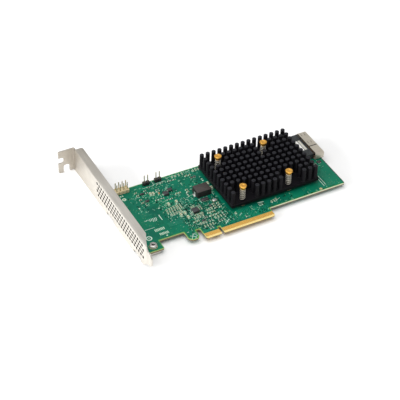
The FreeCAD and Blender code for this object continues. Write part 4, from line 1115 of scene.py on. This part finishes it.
def build_sink(settings):
    """Base plate with rounded edges and a field of cast pins, less the cleared places."""
    low, high = span("heat_sink")
    base_top = low[2] + 2.3
    bm = bmesh.new()
    pins = centres("push_pins")
    outline, inner = round_box(low, high, 0.0, 0.5, 4), round_box(low, high, 0.2, 0.4, 4)
    holes = [ring_of(x, y, 1.62, 24) for x, y in pins]
    spots, faces = tiled(outline, holes, list(zip(inner, inner[1:] + inner[:1])))
    shell(
        bm, spots, faces,
        lambda x, y: (x, y, base_top if inside(x, y, outline_grown(inner, 0.01)) else base_top - 0.18),
        lambda x, y: (x, y, low[2]),
    )
    radius, step_x, step_y = 1.6, 4.55, 4.95
    draft, edge, fillet = settings.draft / MM, settings.edge / MM, settings.fillet / MM
    columns = [low[0] + 1.85 + step_x * column for column in range(15)]
    rows = [low[1] + 2.2 + step_y * row for row in range(10)]
    cleared = {(c, r) for c in (1, 2, 3, 9, 10, 11) for r in (0, 1)}
    cleared |= {(c, r) for c in (1, 2, 9, 10) for r in (7, 8)}
    top = high[2]
    for c, x in enumerate(columns):
        for r, y in enumerate(rows):
            if (c, r) in cleared:
                continue
            tip = radius - draft
            lathe(bm, (
                (radius + fillet, base_top - 0.05), (radius + 0.3 * fillet, base_top + 0.25 * fillet),
                (radius, base_top + fillet), (tip, top - edge), (tip - 0.3 * edge, top - 0.3 * edge),
                (tip - edge, top),
            ), (x, y), settings.sides)
    # the pins' top faces take the paler finish: painted light from above
    for face in bm.faces:
        if face.calc_center_median().z > (top - edge) * MM:
            face.material_index = 1
    piece("pin_fin_sink", bm, ("black_anodised", "lit_pin_tops"), ("heat_sink",), 30.0)


def outline_grown(loop, amount):
    """A convex loop grown about its middle."""
    mid_x = sum(p[0] for p in loop) / len(loop)
    mid_y = sum(p[1] for p in loop) / len(loop)
    return [
        (x + math.copysign(amount, x - mid_x), y + math.copysign(amount, y - mid_y)) for x, y in loop
    ]


def build_push_pins():
    """Brass push-pins with dished heads, and their coil springs."""
    pins = bmesh.new()
    springs = bmesh.new()
    spring_low = span("push_pin_springs")[0][2]
    for low, high in solids_of("push_pins"):
        x, y, top = (low[0] + high[0]) / 2, (low[1] + high[1]) / 2, high[2]
        lathe(pins, (
            (0.0, low[2]), (0.6, low[2]), (1.0, low[2] + 0.5), (1.88, -1.95), (1.9, -1.62), (1.3, -1.6),
            (1.3, top - 2.9), (1.85, top - 2.88), (2.0, top - 2.6), (2.05, top - 1.5),
            (2.25, top - 1.0), (2.48, top - 0.88), (2.50, top - 0.3), (2.42, top - 0.08),
            (2.20, top), (1.35, top), (1.2, top - 0.12), (0.5, top - 0.2), (0.0, top - 0.2),
        ), (x, y), 36)
        bottom = spring_low + 0.22
        rise = top - 2.9 - 0.25 - bottom
        coil(springs, (x, y), bottom, rise, 6.0)
        for face in pins.faces:
            if 0.1 < face.calc_center_median().z / MM < top - 2.88:
                face.material_index = 1
    piece("push_pin_bodies", pins, ("push_pin_brass", "shank_steel"), ("push_pins",), 28.0)
    piece("coil_springs", springs, ("spring_steel",), ("push_pin_springs",), 60.0)


def coil(bm, middle, bottom, rise, turns, steps=20):
    """Spin a round wire's section up the Z axis, with a flat turn's part at each end."""
    part = bmesh.new()
    section = bmesh.ops.create_circle(part, segments=8, radius=WIRE * MM, cap_ends=True)
    upright = Matrix.Rotation(math.pi / 2, 3, "X")
    bmesh.ops.rotate(part, verts=part.verts[:], cent=(0.0, 0.0, 0.0), matrix=upright)
    bmesh.ops.translate(part, verts=part.verts[:], vec=(COIL * MM, 0.0, bottom * MM))
    geom = section["verts"] + part.edges[:] + part.faces[:]
    for share, level in ((0.08, 0.0), (0.84, rise), (0.08, 0.0)):
        count = max(1, round(turns * steps * share))
        made = bmesh.ops.spin(
            part, geom=geom, cent=(0.0, 0.0, 0.0), axis=(0.0, 0.0, 1.0),
            dvec=(0.0, 0.0, level / count * MM), angle=2 * math.pi * turns * share, steps=count,
        )
        geom = made["geom_last"]
    bmesh.ops.translate(part, verts=part.verts[:], vec=Vector((middle[0], middle[1], 0.0)) * MM)
    join(bm, part)


# --- socket -----------------------------------------------------------------------------------


def build_socket():
    """Folded shell with rounded corners and a seam, moulded housing and sloped rear plate."""
    low, high = span("socket_shell")
    thick = 0.35
    seam = low[1] + 9.2
    bm = bmesh.new()

    def shell_loop(inset):
        """Rounded cross-section of the shell, as y, z pairs."""
        return round_box(low[1:], high[1:], inset, max(0.9 - inset, 0.25), 5)

    spots, faces = tiled(shell_loop(0.0), [shell_loop(thick)])
    shell(bm, spots, faces, lambda y, z: (low[0], y, z), lambda y, z: (high[0], y, z))
    top = high[2]
    strip(bm, low[0] - 0.01, high[0] - 0.3, seam, seam + 0.8, top, 0.3, 0.012)
    strip(bm, low[0] - 0.01, low[0] + 0.55, low[1] + 0.8, high[1] - 0.8, top, 0.3, 0.012)
    for y in (seam + 3.6, high[1] - 4.4):
        for x in (low[0] + 1.9, low[0] + 4.4):
            strip(bm, x, x + 0.3, y, y + 2.2, top, 0.04, 0.01)
    piece("folded_shell", bm, ("shell_metal", "recess_dark"), ("socket_shell",), 30.0)

    low, high = span("socket_housing")
    start = span("socket_shell")[0][0]
    window_low, window_high = span("socket_rear_plate")[0][1], span("socket_rear_plate")[1][1]
    wall = start - 1.5
    bm = bmesh.new()
    block(bm, (low[0], low[1], 0.0), (wall, window_low, high[2]), 0.25)
    block(bm, (low[0], window_high, 0.0), (wall, high[1], high[2]), 0.25)
    block(bm, (wall - 0.01, low[1], 0.0), (start, high[1], high[2]), 0.12)
    block(bm, (start - 0.02, low[1] + 0.4, 2.2), (high[0], high[1] - 2.6, 3.2), 0.2)
    for y in (low[1] + 1.3, window_high + 1.2):
        strip(bm, low[0] + 0.9, low[0] + 3.6, y, y + 0.5, high[2], 0.05, 0.02)
    strip(bm, start - 0.75, start - 0.02, low[1] + 0.1, high[1] - 0.1, high[2], 0.05, 0.02)
    piece("moulded_housing", bm, ("housing_grey", "recess_dark"), ("socket_housing",))

    low, high = span("socket_rear_plate")
    bm = bmesh.new()
    profile = (
        (wall, high[2] - 0.25), (wall, high[2]), (wall - 3.5, high[2]), (wall - 3.9, high[2] - 0.12),
        (low[0] + 1.3, 0.42), (low[0] + 1.0, 0.25), (low[0], 0.25), (low[0], 0.0), (low[0] + 1.2, 0.0),
        (low[0] + 1.5, 0.2), (wall - 3.7, high[2] - 0.35), (wall - 3.4, high[2] - 0.25),
    )
    spots, faces = tiled(profile, [])
    shell(bm, spots, faces, lambda x, z: (x, low[1], z), lambda x, z: (x, high[1], z))
    strip(bm, wall - 2.25, wall - 1.80, low[1] + 0.1, high[1] - 0.1, high[2], 0.05, 0.012)
    # bright strip where the top turns into the slope: painted highlight
    strip(bm, wall - 3.60, wall - 2.25, low[1] + 0.05, high[1] - 0.05, high[2], 0.05, 0.008, 2)
    finishes = ("plate_metal", "recess_dark", "plate_bright")
    piece("sloped_plate", bm, finishes, ("socket_rear_plate",), 30.0)
    dress("socket_contacts", "contact_gold")


# --- headers ----------------------------------------------------------------------------------


def build_headers():
    """Moulded header bodies with waisted sides, and square pins with pointed ends."""
    for name, node, pins, finish in (
        ("service_body", "service_header", "service_header_pins", "header_cream"),
        ("left_jumper_body", "left_jumper_header", "left_jumper_pins", "header_black"),
        ("right_jumper_body", "right_jumper_header", "right_jumper_pins", "header_black"),
    ):
        low, high = span(node)
        bm = bmesh.new()
        pitch, cut = 2.54, 0.5
        count = round((high[0] - low[0]) / pitch)
        front, back = [], []
        for cell in range(count):
            a, b = low[0] + cell * pitch, low[0] + (cell + 1) * pitch
            front += [(a, low[1] + cut), (a + cut, low[1]), (b - cut, low[1]), (b, low[1] + cut)]
            back += [(a, high[1] - cut), (a + cut, high[1]), (b - cut, high[1]), (b, high[1] - cut)]
        loop = []
        for spot in front + back[::-1]:
            if not loop or (Vector(spot) - Vector(loop[-1])).length > 1e-4:
                loop.append(spot)
        prism(bm, loop, 0.25, high[2])
        for cell in range(count):
            x = low[0] + (cell + 0.5) * pitch
            block(bm, (x - 0.6, low[1] + 0.25, 0.0), (x + 0.6, high[1] - 0.25, 0.3), 0.05)
        piece(name, bm, (finish,), (node,))
        bm = bmesh.new()
        for a, b in solids_of(pins):
            block(bm, a, b, 0.2, 0, 1)
        piece(name.replace("body", "posts"), bm, ("pin_gold",), (pins,))


# --- power parts, chips and passives ----------------------------------------------------------


def build_inductor():
    """Pressed power inductor with folded terminals; its top face is painted paler than its sides, as painted
    light from above.
    """
    low, high = span("power_inductor")
    bm = bmesh.new()
    outline = round_box(low, high, 0.0, 0.5, 4)
    rim = list(prism(bm, outline, 0.0, high[2]).edges)
    bmesh.ops.bevel(bm, geom=rim, offset=0.25 * MM, segments=3, affect="EDGES", profile=0.5, material=-1)
    # the top face takes the paler finish: painted light from above
    for face in bm.faces:
        if face.calc_center_median().z > (high[2] - 0.02) * MM:
            face.material_index = 1
    piece("pressed_inductor", bm, ("inductor_side", "inductor_top"), ("power_inductor",))
    bm = bmesh.new()
    for a, b in solids_of("power_inductor_terminals"):
        left = a[0] < low[0] - 0.05
        side = (low[0] - 0.2, low[0]) if left else (high[0], high[0] + 0.2)
        block(bm, (side[0], a[1] + 0.7, 0.02), (side[1], b[1] - 0.7, b[2]), 0.05)
        toe = (a[0], side[1]) if left else (side[0], b[0])
        block(bm, (toe[0], a[1], 0.0), (toe[1], b[1], 0.22), 0.06)
    piece("inductor_terminals", bm, ("terminal_tin",), ("power_inductor_terminals",))


def build_chips(settings):
    """Moulded chips with their leads, plus the small inductors, crystal and lamp."""
    edge = settings.edge / MM
    body = bmesh.new()
    legs = bmesh.new()
    for node, pitch in (("flash_chip", 1.0), ("line_driver", 0.65), ("small_transistors", 0.95)):
        for low, high in solids_of(node):
            block(body, (low[0], low[1] + 0.15, 0.08), (high[0], high[1] - 0.15, high[2]), edge)
            count = max(2, int((high[0] - low[0] - 0.2) / pitch))
            first = (low[0] + high[0]) / 2 - (count - 1) * pitch / 2
            for place in range(count):
                x = first + place * pitch
                for near_y, far_y in ((low[1] - 0.25, low[1] + 0.25), (high[1] - 0.25, high[1] + 0.25)):
                    block(legs, (x - 0.17, near_y, 0.0), (x + 0.17, far_y, 0.16), 0.03, 0, 1)
            dot = ((0.16, high[2] - 0.01), (0.16, high[2] + 0.004))
            lathe(body, dot, (low[0] + 0.45, low[1] + 0.55), 10, 1)
    for node in ("supply_inductors", "buck_inductor"):
        for low, high in solids_of(node):
            block(body, (low[0], low[1], 0.05), high, 2 * edge, 0, 3)
            middle = (low[1] + high[1]) / 2
            for a, b in ((low[0] - 0.12, low[0] + 0.3), (high[0] - 0.3, high[0] + 0.12)):
                block(legs, (a, middle - 0.9, 0.0), (b, middle + 0.9, 0.7), 0.05)
    piece("moulded_chips", body, ("chip_black", "white_ink"), (
        "flash_chip", "line_driver", "small_transistors", "supply_inductors", "buck_inductor",
    ))
    piece("chip_leads", legs, ("solder",))
    bm = bmesh.new()
    low, high = span("clock_crystal")
    block(bm, (low[0], low[1], 0.0), (high[0], high[1], 0.35), 0.06, 1)
    block(bm, (low[0] + 0.15, low[1] + 0.15, 0.3), (high[0] - 0.15, high[1] - 0.15, high[2]), 0.15)
    piece("crystal_can", bm, ("terminal_tin", "capacitor_tan"), ("clock_crystal",))
    bm = bmesh.new()
    low, high = span("status_led")
    block(bm, (low[0], low[1], 0.0), (high[0], high[1], 0.3), 0.03, 1)
    block(bm, (low[0] + 0.06, low[1] + 0.25, 0.28), (high[0] - 0.06, high[1] - 0.25, high[2]), 0.12)
    piece("lamp", bm, ("led_amber", "header_cream"), ("status_led",))


def build_passives(settings):
    """Ceramic capacitors and film resistors with tinned ends."""
    share = settings.plating
    for name, node, finish in (
        ("large_capacitors", "block_capacitors", "capacitor_cream"),
        ("small_capacitors", "chip_capacitors", "capacitor_tan"),
        ("small_resistors", "chip_resistors", "resistor_black"),
    ):
        bm = bmesh.new()
        for low, high in solids_of(node):
            along = 0 if high[0] - low[0] > high[1] - low[1] else 1
            reach = (high[along] - low[along]) * share
            a, b = list(low), list(high)
            a[along] += reach * 0.9
            b[along] -= reach * 0.9
            a[2] += 0.03
            inset = 0.04
            a[1 - along] += inset
            b[1 - along] -= inset
            b[2] -= inset
            block(bm, a, b, 0.0)
            for start, end in ((low[along], low[along] + reach), (high[along] - reach, high[along])):
                c, d = list(low), list(high)
                c[along], d[along] = start, end
                block(bm, c, d, 0.1, 1)
        piece(name, bm, (finish, "solder"), (node,))


# --- stage ------------------------------------------------------------------------------------


def area_light(name, power, size, place, target):
    """A large soft light aimed at a point."""
    data = bpy.data.lights.new(name, "AREA")
    data.energy = power
    data.shape = "RECTANGLE"
    data.size, data.size_y = size
    lamp = bpy.data.objects.new(name, data)
    lamp.location = place
    lamp.rotation_euler = (Vector(target) - Vector(place)).to_track_quat("-Z", "Y").to_euler()
    bpy.context.scene.collection.objects.link(lamp)


def build_stage(settings):
    """Pale floor, soft lights, surround and camera."""
    floor_level = CAD_BOX[0][2] - 0.0001
    bm = bmesh.new()
    bmesh.ops.create_grid(
        bm, x_segments=8, y_segments=8, size=3.0, matrix=Matrix.Translation((0.0, 0.0, floor_level))
    )
    mesh = bpy.data.meshes.new("floor")
    bm.to_mesh(mesh)
    bm.free()
    floor = bpy.data.objects.new("floor", mesh)
    mesh.materials.append(FINISHES["floor_white"])
    bpy.context.scene.collection.objects.link(floor)

    world = bpy.data.worlds.new("surround")
    world.use_nodes = True
    backdrop = world.node_tree.nodes["Background"]
    backdrop.inputs["Color"].default_value = (1.0, 1.0, 1.0, 1.0)
    backdrop.inputs["Strength"].default_value = settings.sky
    bpy.context.scene.world = world
    bpy.context.scene.view_settings.view_transform = "Standard"

    middle = (0.02, 0.04, 0.0)
    area_light("large_light", settings.key, (1.3, 1.1), (-0.20, 0.00, 1.0), middle)
    area_light("front_light", settings.fill, (0.9, 0.5), (-1.00, 0.10, 0.36), middle)

    data = bpy.data.cameras.new("camera")
    data.lens = settings.lens
    data.sensor_width = 36.0
    data.clip_start, data.clip_end = 0.05, 20.0
    camera = bpy.data.objects.new("camera", data)
    camera.location = CAMERA_PLACE
    camera.rotation_euler = CAMERA_TURN
    bpy.context.scene.collection.objects.link(camera)
    bpy.context.scene.camera = camera


# --- operators and panel ----------------------------------------------------------------------


class CARD_OT_finishes(bpy.types.Operator):
    """Make every material"""

    bl_idname = "card.finishes"
    bl_label = "Make finishes"

    def execute(self, context):
        make_finishes(context.scene.card_finishes)
        return {"FINISHED"}


class CARD_OT_board(bpy.types.Operator):
    """Build the board with its marks and copper"""

    bl_idname = "card.board"
    bl_label = "Dress board"

    def execute(self, context):
        settings = context.scene.card_board
        build_board(settings)
        build_marks(settings)
        build_traces(settings)
        dress("edge_contacts_front", "contact_gold")
        dress("edge_contacts_back", "contact_gold")
        return {"FINISHED"}


class CARD_OT_bracket(bpy.types.Operator):
    """Build the folded bracket"""

    bl_idname = "card.bracket"
    bl_label = "Fold bracket"

    def execute(self, context):
        build_bracket(context.scene.card_bracket)
        return {"FINISHED"}


class CARD_OT_screws(bpy.types.Operator):
    """Build the bracket's screws"""

    bl_idname = "card.screws"
    bl_label = "Add screws"

    def execute(self, context):
        build_screws()
        return {"FINISHED"}


class CARD_OT_controller(bpy.types.Operator):
    """Finish the controller chip under the heat sink"""

    bl_idname = "card.controller"
    bl_label = "Dress controller"

    def execute(self, context):
        dress("controller_substrate", "substrate_green")
        dress("controller_lid", "lid_metal")
        dress("thermal_pad", "pad_grey")
        return {"FINISHED"}


class CARD_OT_sink(bpy.types.Operator):
    """Build the pin-fin heat sink"""

    bl_idname = "card.sink"
    bl_label = "Build heat sink"

    def execute(self, context):
        build_sink(context.scene.card_sink)
        return {"FINISHED"}


class CARD_OT_push_pins(bpy.types.Operator):
    """Build push-pins and springs"""

    bl_idname = "card.push_pins"
    bl_label = "Add push-pins"

    def execute(self, context):
        build_push_pins()
        return {"FINISHED"}


class CARD_OT_socket(bpy.types.Operator):
    """Build the rear cable socket"""

    bl_idname = "card.socket"
    bl_label = "Build socket"

    def execute(self, context):
        build_socket()
        return {"FINISHED"}


class CARD_OT_headers(bpy.types.Operator):
    """Build the pin headers"""

    bl_idname = "card.headers"
    bl_label = "Build headers"

    def execute(self, context):
        build_headers()
        return {"FINISHED"}


class CARD_OT_inductor(bpy.types.Operator):
    """Build the power inductor"""

    bl_idname = "card.inductor"
    bl_label = "Build inductor"

    def execute(self, context):
        build_inductor()
        return {"FINISHED"}


class CARD_OT_chips(bpy.types.Operator):
    """Build the small moulded parts"""

    bl_idname = "card.chips"
    bl_label = "Build chips"

    def execute(self, context):
        build_chips(context.scene.card_chips)
        return {"FINISHED"}


class CARD_OT_passives(bpy.types.Operator):
    """Build capacitors and resistors"""

    bl_idname = "card.passives"
    bl_label = "Build passives"

    def execute(self, context):
        build_passives(context.scene.card_chips)
        return {"FINISHED"}


class CARD_OT_stage(bpy.types.Operator):
    """Add floor, lights and camera"""

    bl_idname = "card.stage"
    bl_label = "Set stage"

    def execute(self, context):
        build_stage(context.scene.card_stage)
        return {"FINISHED"}


OPERATORS = (
    CARD_OT_finishes, CARD_OT_board, CARD_OT_bracket, CARD_OT_screws, CARD_OT_controller,
    CARD_OT_sink, CARD_OT_push_pins, CARD_OT_socket, CARD_OT_headers, CARD_OT_inductor,
    CARD_OT_chips, CARD_OT_passives, CARD_OT_stage,
)


class CARD_PT_panel(bpy.types.Panel):
    """Buttons and settings for the card."""

    bl_idname = "CARD_PT_panel"
    bl_label = "Controller card"
    bl_space_type = "VIEW_3D"
    bl_region_type = "UI"
    bl_category = "Card"

    def draw(self, context):
        """Show each step and the sizes it uses."""
        for operator in OPERATORS:
            self.layout.operator(operator.bl_idname)
        for name, group in SETTINGS.items():
            column = self.layout.column(heading=name)
            for key in group.__annotations__:
                column.prop(getattr(context.scene, name), key)


def register():
    """Register the settings, operators and panel."""
    for name, group in SETTINGS.items():
        bpy.utils.register_class(group)
        setattr(bpy.types.Scene, name, bpy.props.PointerProperty(type=group))
    for operator in OPERATORS:
        bpy.utils.register_class(operator)
    bpy.utils.register_class(CARD_PT_panel)


def unregister():
    """Take everything out again."""
    bpy.utils.unregister_class(CARD_PT_panel)
    for operator in reversed(OPERATORS):
        bpy.utils.unregister_class(operator)
    for name, group in SETTINGS.items():
        delattr(bpy.types.Scene, name)
        bpy.utils.unregister_class(group)


def main():
    """Build the whole dressed card."""
    register()
    for operator in OPERATORS:
        getattr(bpy.ops.card, operator.bl_idname.split(".")[1])()


if __name__ == "__main__":
    main()
